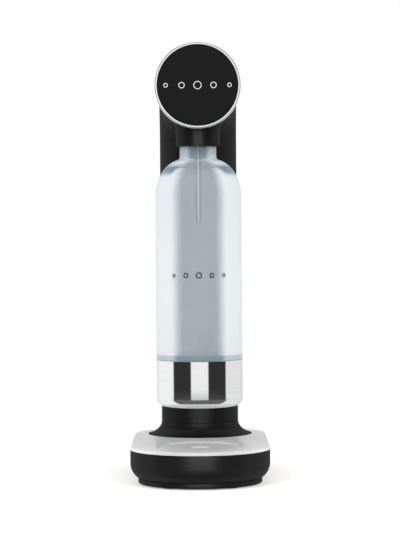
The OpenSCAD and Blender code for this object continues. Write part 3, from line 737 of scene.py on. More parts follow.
def revolve(
    name: str, profile: Profile, centre: Sequence[float], axis: Axis = Axis.UPRIGHT, segments: int = 128
) -> Piece:
    """Turns a profile about an axis.

    Args:
        name: The piece's name.
        profile: Radius and height of each point: a closed ring, or a chain from the axis to the axis.
        centre: Point on the axis where height is 0.
        axis: Direction of the axis.
        segments: Number of steps round it.

    Returns:
        The turned piece.
    """
    origin = Vector(centre)
    points: list[Vector] = []
    rings: list[list[int]] = []
    for radius, height in profile:
        count = segments if radius > TINY else 1
        rings.append(list(range(len(points), len(points) + count)))
        for step in range(count):
            angle = 2 * math.pi * step / segments
            x, y = radius * math.cos(angle), radius * math.sin(angle)
            offset = Vector((x, y, height)) if axis is Axis.UPRIGHT else Vector((x, height, y))
            points.append(origin + offset)
    closed = profile[0][0] > TINY
    faces = []
    for low, high in zip(rings, rings[1:] + (rings[:1] if closed else [])):
        for step in range(segments):
            corners = (low[step % len(low)], low[(step + 1) % len(low)], high[(step + 1) % len(high)],
                       high[step % len(high)])
            face = list(dict.fromkeys(corners))
            if len(face) > 2:
                faces.append(face)
    return make_piece(name, points, faces)


def run_round(name: str, profile: Profile, half_gap: float, segments: int = 64) -> Piece:
    """Runs a profile round the base's outline of two half rounds, and closes both its ends flat.

    Args:
        name: The piece's name.
        profile: Distance from the middle line and height of each point, from the top's edge to the bottom's.
        half_gap: Half the distance between the two half rounds' centres.
        segments: Steps in each half round.

    Returns:
        The closed piece.
    """
    half = [math.pi * i / segments for i in range(segments + 1)]
    stations = [(a, half_gap) for a in half] + [(a + math.pi, -half_gap) for a in half]
    rows = [
        [Vector((reach * math.cos(a), middle + reach * math.sin(a), height)) for a, middle in stations]
        for reach, height in profile
    ]
    return loft(name, rows)


def loft(name: str, rows: Sequence[Sequence[Vector]]) -> Piece:
    """Joins closed rows of points into a solid with flat ends.

    Args:
        name: The piece's name.
        rows: Rows with the same number of points, each a closed loop.

    Returns:
        The closed piece.
    """
    count = len(rows[0])
    points = [p for row in rows for p in row]
    faces = [
        (row * count + step, row * count + (step + 1) % count,
         (row + 1) * count + (step + 1) % count, (row + 1) * count + step)
        for row in range(len(rows) - 1)
        for step in range(count)
    ]
    last = (len(rows) - 1) * count
    faces += [tuple(range(count)), tuple(range(last + count - 1, last - 1, -1))]
    return make_piece(name, points, faces)


def rod(name: str, foot: Sequence[float], radius: float, height: float, sides: int = 48) -> Piece:
    """Makes an upright closed rod from its foot, for cutting and joining."""
    return revolve(name, [(0, 0), (radius, 0), (radius, height), (0, height)], foot, segments=sides)


def join(pieces: Sequence[Piece]) -> Piece:
    """Joins pieces' meshes into the first one.

    Args:
        pieces: The pieces, of which only the first one stays.

    Returns:
        The first piece.
    """
    work = bmesh.new()
    for piece in pieces:
        work.from_mesh(piece.data)
    work.to_mesh(pieces[0].data)
    work.free()
    for piece in pieces[1:]:
        bpy.data.objects.remove(piece)
    return pieces[0]


def islands(node: str) -> list[Box]:
    """Finds the separate solids in a CAD node.

    Args:
        node: The CAD node's name.

    Returns:
        The box of each solid, in a steady order.
    """
    work = bmesh.new()
    work.from_mesh(frame["nodes"][node].data)
    bmesh.ops.remove_doubles(work, verts=work.verts, dist=TINY)
    left = set(work.verts)
    boxes = []
    while left:
        queue = [left.pop()]
        found = list(queue)
        while queue:
            for edge in queue.pop().link_edges:
                for vertex in edge.verts:
                    if vertex in left:
                        left.remove(vertex)
                        queue.append(vertex)
                        found.append(vertex)
        low = Vector(min(v.co[i] for v in found) for i in range(3))
        high = Vector(max(v.co[i] for v in found) for i in range(3))
        boxes.append((low, high))
    work.free()
    return sorted(boxes, key=lambda b: (round(b[0].x, 5), round(b[0].y, 5), round(b[0].z, 5)))


# ---------------------------------------------------------------- geometry node trees


class ShapeTree(Graph):
    """A Geometry Nodes tree with named inputs."""

    def __init__(self, name: str, inputs: dict[str, str]) -> None:
        """Starts the tree.

        Args:
            name: The tree's name.
            inputs: Type of each input's socket, by its name.
        """
        super().__init__(bpy.data.node_groups.new(name, "GeometryNodeTree"))
        self.tree.interface.new_socket("Geometry", in_out="INPUT", socket_type="NodeSocketGeometry")
        for title, kind in {**inputs, "Finish": "NodeSocketMaterial"}.items():
            self.tree.interface.new_socket(title, in_out="INPUT", socket_type=kind)
        self.tree.interface.new_socket("Geometry", in_out="OUTPUT", socket_type="NodeSocketGeometry")
        self.given = self.tree.nodes.new("NodeGroupInput").outputs

    def close(self, geometry: Socket) -> None:
        """Ends the tree in Realize Instances and Set Material.

        Args:
            geometry: What the tree has made.
        """
        real = self.add("GeometryNodeRealizeInstances", {"Geometry": geometry}).outputs[0]
        dressed = self.add("GeometryNodeSetMaterial", {"Geometry": real, "Material": self.given["Finish"]})
        self.add("NodeGroupOutput", {0: dressed.outputs[0]})

    def spiral(self, steps: int, height: Any) -> Socket:
        """Adds a spiral curve of the given radius and turns.

        Args:
            steps: Number of steps in each turn.
            height: How far it climbs.

        Returns:
            The curve's socket.
        """
        radius = self.given["Radius"]
        inputs = {"Resolution": steps, "Rotations": self.given["Turns"], "Height": height}
        inputs |= {"Start Radius": radius, "End Radius": radius}
        return self.add("GeometryNodeCurveSpiral", inputs).outputs[0]

    def sweep(self, curve: Socket, radius: Socket, sides: int) -> Socket:
        """Sweeps a section along a curve and closes both its ends.

        Args:
            curve: The curve's socket.
            radius: Radius of the section.
            sides: Number of its sides.

        Returns:
            The mesh's socket.
        """
        section = self.add("GeometryNodeCurvePrimitiveCircle", {"Resolution": sides, "Radius": radius})
        inputs = {"Curve": curve, "Profile Curve": section.outputs["Curve"], "Fill Caps": True}
        return self.add("GeometryNodeCurveToMesh", inputs).outputs[0]

    def grow(
        self, name: str, finish: Finish, points: Sequence[Vector] = ((0, 0, 0),), **values: Any
    ) -> Piece:
        """Runs the tree on a new object and turns the result into a plain mesh.

        Args:
            name: The piece's name.
            finish: The finish that the tree sets.
            points: Vertices that the tree starts from.
            **values: The tree's inputs, with _ for each space in the name.

        Returns:
            The finished piece.
        """
        mesh = bpy.data.meshes.new(name)
        mesh.from_pydata([tuple(p) for p in points], [], [])
        piece = bpy.data.objects.new(name, mesh)
        bpy.context.scene.collection.objects.link(piece)
        modifier = piece.modifiers.new("shape", "NODES")
        modifier.node_group = self.tree
        wanted = {key.replace("_", " "): value for key, value in values.items()}
        wanted["Finish"] = finish.material()
        for item in self.tree.interface.items_tree:
            if item.in_out == "INPUT" and item.name in wanted:
                modifier[item.identifier] = wanted[item.name]
        return bake(piece)


def repeat_tree() -> ShapeTree:
    """Builds the tree that sets a copy of a piece on every point.

    Returns:
        The finished tree.
    """
    tree = ShapeTree("repeat_on_points", {"Piece": "NodeSocketObject", "Turn": "NodeSocketRotation"})
    given = tree.given
    source = tree.add("GeometryNodeObjectInfo", {"Object": given["Piece"]}, transform_space="ORIGINAL")
    inputs = {"Points": given["Geometry"], "Instance": source.outputs["Geometry"], "Rotation": given["Turn"]}
    tree.close(tree.add("GeometryNodeInstanceOnPoints", inputs).outputs[0])
    return tree


def coil_tree() -> ShapeTree:
    """Builds the tree of a wire coil whose end turns lie flat.

    Returns:
        The finished tree.
    """
    sizes = dict.fromkeys(("Radius", "Wire Radius", "Rise", "Turns"), "NodeSocketFloat")
    tree = ShapeTree("wire_coil", sizes)
    along = tree.add("GeometryNodeSplineParameter").outputs["Factor"]
    flat = tree.math("DIVIDE", FLAT_TURNS, tree.given["Turns"])
    limits = {"From Min": flat, "From Max": tree.math("SUBTRACT", 1.0, flat), "To Max": tree.given["Rise"]}
    climb = tree.add("ShaderNodeMapRange", {"Value": along, "To Min": 0.0, **limits})
    lift = tree.add("ShaderNodeCombineXYZ", {"Z": climb.outputs["Result"]}).outputs[0]
    risen = tree.add("GeometryNodeSetPosition", {"Geometry": tree.spiral(36, 0.0), "Offset": lift})
    tree.close(tree.sweep(risen.outputs[0], tree.given["Wire Radius"], 12))
    return tree


def thread_tree() -> ShapeTree:
    """Builds the tree of a screw thread: a three-sided ridge that winds up a core.

    Returns:
        The finished tree.
    """
    sizes = dict.fromkeys(("Radius", "Ridge", "Rise", "Turns"), "NodeSocketFloat")
    tree = ShapeTree("screw_thread", sizes)
    tree.close(tree.sweep(tree.spiral(48, tree.given["Rise"]), tree.given["Ridge"], 3))
    return tree


# ---------------------------------------------------------------- the frame's places


@dataclass(frozen=True)
class Places:
    """Axes and levels that several sub-assemblies share, read from the frame."""

    base_radius: float
    half_gap: float
    body_top: float
    plate_top: float
    column_radius: float
    column_y: float
    bottle_y: float
    head_z: float
    head_front: float
    bend_z: float

    @classmethod
    def read(cls) -> "Places":
        """Returns the places of the loaded frame."""
        body, plate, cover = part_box("base_body"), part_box("top_plate"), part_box("rear_cover")
        top, front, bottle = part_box("top_shell"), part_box("front_shell"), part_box("bottle")
        radius = cover[1].x
        return cls(
            base_radius=body[1].x,
            half_gap=body[1].y - body[1].x,
            body_top=body[1].z,
            plate_top=plate[1].z,
            column_radius=radius,
            column_y=cover[1].y - radius,
            bottle_y=(bottle[0].y + bottle[1].y) / 2,
            head_z=top[1].z - radius,
            head_front=top[0].y,
            bend_z=front[1].z,
        )


@dataclass
class Assembly:
    """What every sub-assembly is given."""

    places: Places
    finishes: Finishes
    repeat: ShapeTree
    coil: ShapeTree
    thread: ShapeTree

    def put(self, piece: Piece, finish: Finish, body: str, *nodes: str) -> Piece:
        """Dresses a finished piece and sets it on its body in place of CAD nodes.

        Args:
            piece: The finished piece.
            finish: Its finish.
            body: The CAD body that it rides on.
            *nodes: The CAD nodes that it stands for.

        Returns:
            The piece.
        """
        finish.dress(piece)
        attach(piece, body)
        if nodes:
            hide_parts(*nodes)
        LOG.info("%s: %d faces on %s", piece.name, len(piece.data.polygons), body)
        return piece


# ---------------------------------------------------------------- base


@dataclass
class Base(Assembly):
    """Black base body with its pan, feet and screws, and the steel plate on top."""

    belly_radius: float = 17 * MM
    plinth_inset: float = 8 * MM
    wall: float = 2.5 * MM
    deck: float = 2.5 * MM
    edge: float = 0.7 * MM
    sheet: float = 1.2 * MM
    rim_radius: float = 1.4 * MM
    recess_radius: float = 42 * MM
    recess_depth: float = 1.5 * MM
    dimple_radius: float = 10 * MM
    drain_radius: float = 1.1 * MM
    boss_radius: float = 4 * MM
    pilot_radius: float = 1.5 * MM
    pilot_depth: float = 12 * MM
    hole_gap: float = 0.3 * MM
    pan_floor: float = 2.5 * MM
    pan_wall: float = 2 * MM
    clear_radius: float = 1.7 * MM
    sink_radius: float = 3.3 * MM
    sink_depth: float = 1.9 * MM
    foot_groove: float = 0.35 * MM
    foot_rings: Corner = (0.8, 0.6, 0.4)

    def build(self) -> None:
        """Builds every piece of the base."""
        self.body()
        self.pan()
        self.plate()
        self.feet()
        self.drain()

    def screw_places(self) -> list[Vector]:
        """Returns the middle of each base screw, seen from above."""
        return [(low + high) / 2 for low, high in islands("base_screws")]

    def side(self, inset: float, steps: int = 18) -> Profile:
        """Returns the belly's outline from the deck's height down to the plinth.

        Args:
            inset: How far the outline lies inside the body's outside.
            steps: Chords in the belly's round.
        """
        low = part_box("base_pan")[1].z
        end = math.degrees(math.acos((self.belly_radius - self.plinth_inset) / self.belly_radius))
        centre_z = low + self.belly_radius * math.sin(math.radians(end))
        centre = (self.places.base_radius - self.belly_radius, centre_z)
        return arc(centre, self.belly_radius - inset, 0, -end, steps)

    def body(self) -> None:
        """Builds the hollow base body with its round belly, deck, holes and screw bosses."""
        places = self.places
        side = self.side(0)
        edge = self.edge
        top = places.body_top
        lip = side[-1]
        outline = [
            (places.base_radius - 4 * edge, top, 0),
            (places.base_radius, top, edge),
            (*side[0], 0),
        ]
        foot = rounded([(*side[-2], 0), (*lip, edge), (lip[0] - 2 * MM, lip[1], 0)])
        piece = run_round("base_body_shell", rounded(outline) + side[1:-1] + foot[1:], places.half_gap)
        inner = self.side(self.wall)
        hollow = [(places.base_radius - self.wall - 3 * MM, top - self.deck, 0),
                  (places.base_radius - self.wall, top - self.deck, 2 * MM), (*inner[0], 0)]
        end = inner[-1]
        room = rounded(hollow) + inner[1:] + [(end[0], end[1] - 4 * MM)]
        cut(piece, run_round("hollow", room, places.half_gap))
        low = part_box("base_body")[0].z
        for number, spot in enumerate(self.screw_places()):
            boss = rod(f"boss_{number}", (spot.x, spot.y, low), self.boss_radius, top - 1 * MM - low)
            cut(piece, boss, "UNION")
            under = (spot.x, spot.y, low - PAST)
            cut(piece, rod("pilot", under, self.pilot_radius, self.pilot_depth + PAST, 24))
        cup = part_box("cylinder_cup")[1].x + self.hole_gap
        under = top - self.deck - PAST
        cut(piece, rod("cup_hole", (0, places.column_y, under), cup, 6 * MM, 128))
        cut(piece, rod("drain_hole", (0, places.bottle_y, under), self.dimple_radius + 1 * MM, 6 * MM, 64))
        self.put(piece, self.finishes.satin, "housing", "base_body")

    def pan(self) -> None:
        """Builds the tray under the base, with its upstand, foot seats and screw holes."""
        places = self.places
        low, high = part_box("base_pan")
        radius = high.x
        inner, floor = radius - self.pan_wall, low.z + self.pan_floor
        profile = rounded(
            [
                (inner - 0.01 * MM, floor, 0),
                (inner, floor, 0),
                (inner, high.z, 0.4 * MM),
                (radius, high.z, 0.4 * MM),
                (radius, low.z, 0.8 * MM),
                (radius - 6 * MM, low.z, 0),
            ]
        )
        piece = run_round("base_pan_tray", profile, places.half_gap)
        for spot in self.screw_places():
            under = (spot.x, spot.y, low.z - PAST)
            cut(piece, rod("clear", under, self.clear_radius, 8 * MM + PAST, 24))
            cut(piece, rod("sink", under, self.sink_radius, self.sink_depth + PAST, 32))
        for below, above in islands("rubber_feet"):
            middle = (below + above) / 2
            under = (middle.x, middle.y, low.z - PAST)
            cut(piece, rod("seat", under, (above.x - below.x) / 2, above.z - low.z + PAST, 64))
        self.put(piece, self.finishes.satin, "housing", "base_pan")

    def plate(self) -> None:
        """Builds the pressed steel plate: rolled rim, round recess, drain dimple with holes, column hole."""
        places = self.places
        low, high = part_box("top_plate")
        radius, sheet, rim = high.x, self.sheet, self.rim_radius
        profile = rounded(
            [
                (radius - 3 * MM, high.z, 0),
                (radius, high.z, rim),
                (radius, places.body_top, 0.3 * MM),
                (radius - sheet, places.body_top, 0.3 * MM),
                (radius - sheet, high.z - sheet, 0.5 * MM),
                (radius - 3 * MM, high.z - sheet, 0),
            ],
            steps=7,
        )
        piece = run_round("steel_plate", profile, places.half_gap)
        centre = (0, places.bottle_y, 0)
        floor = high.z - self.recess_depth
        base = floor - self.recess_depth
        pan = rounded(
            [
                (0, high.z - 0.2 * MM, 0),
                (self.recess_radius + 0.8 * MM, high.z - 0.2 * MM, 0),
                (self.recess_radius + 0.8 * MM, floor - sheet, 0.6 * MM),
                (self.dimple_radius, floor - sheet, 0.5 * MM),
                (self.dimple_radius - 1.2 * MM, base - sheet, 0.6 * MM),
                (0, base - sheet, 0),
            ]
        )
        cut(piece, revolve("pressing", pan, centre, segments=160), "UNION")
        bowl = rounded(
            [
                (0, high.z + 1 * MM, 0),
                (self.recess_radius + 3 * MM, high.z + 1 * MM, 0),
                (self.recess_radius + 0.5 * MM, high.z - 0.15 * MM, 1.2 * MM),
                (self.recess_radius - 1 * MM, floor, 0.9 * MM),
                (self.dimple_radius - 0.2 * MM, floor, 0.6 * MM),
                (self.dimple_radius - 2.2 * MM, base, 1.2 * MM),
                (0, base, 0),
            ],
            steps=8,
        )
        cut(piece, revolve("recess", bowl, centre, segments=160))
        for turn in range(3):
            angle = math.radians(90 + 120 * turn)
            reach = self.dimple_radius * 0.4
            spot = (reach * math.cos(angle), places.bottle_y + reach * math.sin(angle), low.z - 2 * MM)
            cut(piece, rod("drain", spot, self.drain_radius, 8 * MM, 24))
        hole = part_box("column_spine")[1].x + 0.6 * MM
        cut(piece, rod("column_hole", (0, places.column_y, places.body_top - 2 * MM), hole, 8 * MM, 128))
        self.put(piece, self.finishes.plate, "housing", "top_plate")

    def feet(self) -> None:
        """Builds the rubber feet with ringed soles, and the base's screws."""
        boxes = islands("rubber_feet")
        low, high = boxes[0]
        radius, height = (high.x - low.x) / 2, high.z - low.z
        sole: list[Corner] = [(0, height, 0), (radius, height, 0.2 * MM), (radius, 0, 0.35 * MM)]
        for ring in self.foot_rings:
            reach = radius * ring
            sole += [(reach, 0, 0), (reach - 0.3 * MM, self.foot_groove, 0), (reach - 0.6 * MM, 0, 0)]
        sole.append((0, 0, 0))
        single = revolve("foot_pattern", rounded(sole), (0, 0, 0), segments=64)
        middles = [Vector(((a.x + b.x) / 2, (a.y + b.y) / 2, a.z)) for a, b in boxes]
        piece = self.repeat.grow("rubber_feet_set", self.finishes.foot, middles, Piece=single)
        bpy.data.objects.remove(single)
        self.put(piece, self.finishes.foot, "housing", "rubber_feet")
        screws(self, "base_screws", "housing")

    def drain(self) -> None:
        """Builds the cup that catches what runs through the plate."""
        low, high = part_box("drain_cup")
        radius = self.dimple_radius + 4 * MM
        wall = 1.5 * MM
        profile = rounded(
            [
                (0, low.z, 0),
                (radius, low.z, 1.2 * MM),
                (radius, high.z - wall, 0.3 * MM),
                (high.x, high.z - wall, 0.4 * MM),
                (high.x, high.z, 0.4 * MM),
                (radius - wall, high.z, 0.4 * MM),
                (radius - wall, low.z + wall, 1 * MM),
                (0, low.z + wall, 0),
            ]
        )
        piece = revolve("drain_cup_shell", profile, (0, self.places.bottle_y, 0), segments=96)
        self.put(piece, self.finishes.inner, "housing", "drain_cup")


def screws(owner: Assembly, node: str, body: str, finish: Finish | None = None) -> Piece:
    """Builds the socket screws of a CAD node: each has a domed head with a hexagon socket.

    Args:
        owner: The sub-assembly that the screws belong to.
        node: The CAD node that holds them.
        body: The body that they ride on.
        finish: Their finish, zinc-plated steel if it isn't given.

    Returns:
        The finished set.
    """
    finish = finish or owner.finishes.zinc
    boxes = islands(node)
    low, high = boxes[0]
    head, length = (high.x - low.x) / 2, high.z - low.z
    mesh = frame["nodes"][node].data
    wide = [v.co.z for v in mesh.vertices if (v.co.xy - ((low + high) / 2).xy).length > head * 0.97]
    head_low = (min(wide) + max(wide)) / 2 < (low.z + high.z) / 2
    thick = max(wide) - min(wide)
    shank = head / 2
    profile = rounded(
        [
            (0, 0, 0),
            (head * 0.8, 0, head * 0.15),
            (head, thick * 0.45, head * 0.15),
            (head, thick, 0.1 * MM),
            (shank, thick, 0),
            (shank, length - shank * 0.6, 0),
            (shank * 0.5, length, 0),
            (0, length, 0),
        ]
    )
    single = revolve("screw_pattern", profile, (0, 0, 0), segments=32)
    cut(single, rod("socket", (0, 0, -PAST), shank, thick * 0.6 + PAST, 6))
    spots = [Vector(((a.x + b.x) / 2, (a.y + b.y) / 2, a.z if head_low else b.z)) for a, b in boxes]
    turn = (0.0, 0.0, 0.0) if head_low else (math.pi, 0.0, 0.0)
    piece = owner.repeat.grow(node + "_set", finish, spots, Piece=single, Turn=turn)
    bpy.data.objects.remove(single)
    return owner.put(piece, finish, body, node)


# ---------------------------------------------------------------- column and head shells


@dataclass
class Shells(Assembly):
    """The black skin of the column and head: foot, two column halves and two head halves."""

    wall: float = 3 * MM
    seam: float = 0.15 * MM
    edge: float = 0.3 * MM
    spread: float = 3.6 * MM
    cover_seam: float = 0.4 * MM
    holder_gap: float = 0.8 * MM
    collar_radius: float = 22 * MM
    collar_swing: float = 6.9 * MM
    post_radius: float = 3.2 * MM
    bore_radius: float = 1.5 * MM
    bend_steps: int = 28
    round_steps: int = 56

    def build(self) -> None:
        """Builds every shell."""
        places = self.places
        foot = self.foot()
        self.put(foot, self.finishes.satin, "housing", "column_foot")
        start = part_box("front_shell")[0].z
        front = self.shell("front_shell_skin", Side.INNER, start, places.bend_z)
        self.put(front, self.finishes.satin, "housing", "front_shell")
        self.cover()
        self.under()
        self.top()

    def section(self, seam: float, inset: float) -> Profile:
        """Returns the half ring of a shell's cross-section.

        Args:
            seam: How far its two edges stay from the middle plane.
            inset: How far the whole outline is drawn in, for a rounded end.
        """
        outer = self.places.column_radius - inset
        inner = self.places.column_radius - self.wall + inset
        seam = seam + inset
        lean = math.degrees(math.asin(seam / outer))
        first = 2.5 * self.edge / outer * 180 / math.pi
        outside = arc((0, 0), outer, lean + first, 180 - lean - first, self.round_steps)
        inside = arc((0, 0), inner, 180 - lean - first, lean + first, self.round_steps)
        corners = [(*p, 0.0) for p in outside]
        far, near = math.sqrt(outer**2 - seam**2), math.sqrt(inner**2 - seam**2)
        corners += [(-far, seam, self.edge), (-near, seam, self.edge)]
        corners += [(*p, 0.0) for p in inside]
        corners += [(near, seam, self.edge), (far, seam, self.edge)]
        return rounded(corners, closed=True, steps=3)

    def at(self, distance: float, start: float, side: Side) -> tuple[Vector, Vector]:
        """Returns the tube's middle and a shell's outward direction at a distance along the tube.

        Args:
            distance: Length along the tube's middle line, from start.
            start: Height on the column where the distance is 0.
            side: The half of the tube that the shell covers.
        """
        places = self.places
        bend = places.head_z - places.bend_z
        rise = places.bend_z - start
        if distance <= rise:
            return Vector((0, places.column_y, start + distance)), Vector((0, -side.value, 0))
        turn = (distance - rise) / bend
        bend_y = places.column_y - bend
        if turn <= math.pi / 2:
            spoke = Vector((0, math.cos(turn), math.sin(turn)))
            return Vector((0, bend_y, places.bend_z)) + spoke * bend, spoke * -side.value
        ahead = distance - rise - bend * math.pi / 2
        return Vector((0, bend_y - ahead, places.head_z)), Vector((0, 0, -side.value))

    def length_to_head(self, start: float) -> float:
        """Returns the middle line's length to the head's front.

        Args:
            start: Height on the column where the length starts.
        """
        places = self.places
        bend = places.head_z - places.bend_z
        return places.bend_z - start + bend * math.pi / 2 + places.column_y - bend - places.head_front

    def shell(
        self, name: str, side: Side, start: float, end: float | None = None, seam: float | None = None
    ) -> Piece:
        """Sweeps a half-round shell along the tube, with rounded ends.

        Args:
            name: The piece's name.
            side: The half of the tube that it covers.
            start: Height where it starts on the column.
            end: Height where it ends on the column, or None for the head's front.
            seam: How far its edges stay from the middle plane.

        Returns:
            The closed shell.
        """
        places = self.places
        length = end - start if end is not None else self.length_to_head(start)
        bend = places.head_z - places.bend_z
        rise = places.bend_z - start
        steps = [self.edge * k for k in (0, 0.3, 1)]
        marks = steps + [length - step for step in steps]
        if end is None:
            marks += [rise + bend * math.pi / 2 * i / self.bend_steps for i in range(self.bend_steps + 1)]
        rows = []
        for distance in sorted({round(m, 7) for m in marks if m <= length + TINY}):
            middle, out = self.at(distance, start, side)
            gap = min(distance, length - distance, self.edge)
            inset = self.edge - math.sqrt(max(0.0, self.edge**2 - (self.edge - gap) ** 2))
            section = self.section(self.seam if seam is None else seam, inset)
            rows.append([middle + Vector((u, 0, 0)) + out * v for u, v in section])
        return loft(name, rows)

    def foot(self) -> Piece:
        """Builds the flared foot that the column stands in.

        Returns:
            The ring.
        """
        low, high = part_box("column_foot")
        outer, inner = self.places.column_radius, self.places.column_radius - self.wall
        flare = high.z - low.z
        curve = [(x + self.spread * ((high.z - z) / flare) ** 2, z)
                 for x, z in arc((outer + flare, high.z), flare, 180, 258, 20)]
        profile = rounded(
            [(inner, low.z, 0), (inner, high.z, 0.4 * MM), (outer, high.z, 0.4 * MM)]
            + [(*p, 0.0) for p in curve[2:]]
            + [(curve[-1][0], low.z, 0.15 * MM)],
            closed=True,
            steps=3,
        )
        return revolve("column_foot_ring", profile, (0, self.places.column_y, 0), segments=160)

    def cover(self) -> None:
        """Builds the rear cover with its locating lips and magnet pockets."""
        low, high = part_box("rear_cover")
        piece = self.shell("rear_cover_skin", Side.OUTER, low.z, high.z, seam=self.cover_seam)
        inner = self.places.column_radius - self.wall
        for side in (-1, 1):
            for x0, x1, y0, y1 in ((2.4, 0.6, -5.0, 2.5), (2.4, -0.5, 0.4, 2.5)):
                corners = sorted((side * (inner - x0 * MM), side * (inner - x1 * MM)))
                block = slab("lip", (corners[0], self.places.column_y + y0 * MM, low.z + 10 * MM),
                             (corners[1], self.places.column_y + y1 * MM, high.z - 10 * MM))
                cut(piece, block, "UNION")
        for magnet in islands("cover_magnets"):
            self.pocket(piece, magnet, (high.z - 5 * MM, high.z), (magnet[0].z, 4 * MM))
        self.put(piece, self.finishes.satin, "rear_cover", "rear_cover")

    def pocket(self, piece: Piece, magnet: Box, block: Point2, hole: Point2) -> None:
        """Joins the block that holds a magnet to a shell's wall, and bores it.

        Args:
            piece: The shell.
            magnet: The magnet's box.
            block: Heights of the block's foot and top.
            hole: Height of the bore's foot, and its length.
        """
        below, above = magnet
        near = (below.x - 1.5 * MM, below.y - 1.1 * MM, block[0])
        far = (above.x + 1.5 * MM, above.y + 1.8 * MM, block[1])
        cut(piece, slab("magnet_boss", near, far), "UNION")
        middle = (below + above) / 2
        cut(piece, rod("pocket", (middle.x, middle.y, hole[0]), (above.x - below.x) / 2, hole[1], 48))

    def under(self) -> None:
        """Builds the head's lower shell, open where the bottle holder swings."""
        places = self.places
        piece = self.shell("under_shell_skin", Side.INNER, places.bend_z)
        hinge = (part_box("hinge_pin")[0].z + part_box("hinge_pin")[1].z) / 2
        low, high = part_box("holder_body")
        ball = (high.x - low.x) / 2 + self.holder_gap
        middle = (0, places.bottle_y, hinge)
        cut(piece, revolve("ball_room", arc((0, 0), ball, -90, 90, 48), middle, segments=96))
        collar = self.collar_radius + self.holder_gap
        way = arc((0, places.bottle_y), collar, 0, 180, 40)
        way += arc((0, places.bottle_y - self.collar_swing), collar, 180, 360, 40)
        cut(piece, loft("collar_room", [[Vector((x, y, z)) for x, y in way] for z in (low.z, hinge)]))
        self.bosses(piece, -8 * MM, 0)
        self.put(piece, self.finishes.satin, "housing", "under_shell")

    def bosses(self, piece: Piece, low: float, high: float) -> None:
        """Joins the four screw bosses to a head shell and bores them.

        Args:
            piece: The head shell.
            low: Foot of the bosses, from the head's axis.
            high: Their top, from the head's axis.
        """
        head = self.places.head_z
        wall = self.places.column_radius - self.wall
        for below, above in islands("shell_screws"):
            middle = (below + above) / 2
            side = 1 if middle.x > 0 else -1
            foot = (middle.x, middle.y, head + low)
            cut(piece, rod("post", foot, self.post_radius, high - low, 32), "UNION")
            xs = sorted((middle.x, side * (wall + 0.5 * MM)))
            web = slab("web", (xs[0], middle.y - 2 * MM, head + low), (xs[1], middle.y + 2 * MM, head + high))
            cut(piece, web, "UNION")
            under = (middle.x, middle.y, head + low - PAST)
            cut(piece, rod("bore", under, self.bore_radius, high - low + 0.5 * MM, 24))

    def top(self) -> None:
        """Builds the upper shell, which runs over the bend to the head's front."""
        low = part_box("top_shell")[0].z
        piece = self.shell("top_shell_skin", Side.OUTER, low)
        for magnet in islands("catch_magnets"):
            self.pocket(piece, magnet, (low, self.places.bend_z), (low - PAST, magnet[1].z - low + PAST))
        self.bosses(piece, 0, 10 * MM)
        self.put(piece, self.finishes.satin, "housing", "top_shell")
        screws(self, "shell_screws", "housing")


def slab(name: str, low: Sequence[float], high: Sequence[float]) -> Piece:
    """Makes a closed block, for cutting and joining.

    Args:
        name: The piece's name.
        low: Its lowest corner.
        high: Its highest corner.

    Returns:
        The block.
    """
    corners = ((low[0], low[1]), (high[0], low[1]), (high[0], high[1]), (low[0], high[1]))
    return loft(name, [[Vector((x, y, z)) for x, y in corners] for z in (low[2], high[2])])


def ring_row(
    name: str, radii: Sequence[float], pitch: float, line: float, depth: Point2, place: Point2, steps: int
) -> Piece:
    """Makes a level row of thin rings that face the front, in place of any lettering.

    Args:
        name: The piece's name.
        radii: Outer radius of each ring.
        pitch: Distance from one ring to the next.
        line: Width of a ring's line.
        depth: How far a ring reaches in behind its face, and how far it stands out.
        place: Y of the face and height of the row.
        steps: Number of steps round each ring.

    Returns:
        The joined rings.
    """
    sunk, lift = depth
    rings = []
    for number, radius in enumerate(radii):
        outline = [(radius - line, sunk), (radius, sunk), (radius, -lift), (radius - line, -lift)]
        centre = ((number - len(radii) // 2) * pitch, *place)
        rings.append(revolve(f"{name}_{number}", outline, centre, Axis.DEEP, steps))
    piece = join(rings)
    piece.name = name
    return piece


# ---------------------------------------------------------------- knob


@dataclass
class Knob(Assembly):
    """Round front knob: matt disc, bright ring, and a plain row of bubbles in place of any lettering."""

    ring_width: float = 2.8 * MM
    bubble_radii: Sequence[float] = (2.2 * MM, 3.1 * MM, 4.0 * MM, 3.1 * MM, 2.2 * MM)
    bubble_pitch: float = 15.6 * MM
    bubble_line: float = 0.75 * MM
    bubble_depth: Point2 = (0.3 * MM, 0.12 * MM)

    def build(self) -> None:
        """Builds the ring, the disc and the mark on it."""
        low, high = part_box("knob_ring")
        radius, depth = high.x, high.y - low.y
        inner = radius - self.ring_width
        head = self.places.head_z
        profile = rounded(
            [
                (inner, depth, 0.2 * MM),
                (radius, depth, 0.3 * MM),
                (radius, 0, 1.2 * MM),
                (inner, 0, 0.7 * MM),
            ],
            closed=True,
            steps=7,
        )
        ring = revolve("knob_ring_band", profile, (0, low.y, head), Axis.DEEP, 192)
        self.put(ring, self.finishes.chrome, "knob", "knob_ring")
        face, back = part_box("knob_disc")
        disc_radius = back.x
        outline = rounded(
            [
                (0, 0, 0),
                (disc_radius, 0, 0.8 * MM),
                (disc_radius, back.y - face.y, 0.2 * MM),
                (0, back.y - face.y, 0),
            ]
        )
        disc = revolve("knob_disc_face", outline, (0, face.y, head), Axis.DEEP, 160)
        self.put(disc, self.finishes.disc, "knob", "knob_disc")
        self.mark(face.y, head)

    def mark(self, front: float, height: float) -> None:
        """Builds a row of thin rings on the disc.

        Args:
            front: Y of the disc's face.
            height: Height of the row.
        """
        piece = ring_row(
            "knob_bubble_mark", self.bubble_radii, self.bubble_pitch, self.bubble_line, self.bubble_depth,
            (front, height), 40,
        )
        tidy(piece)
        self.put(piece, self.finishes.chrome, "knob")


# ---------------------------------------------------------------- bottle


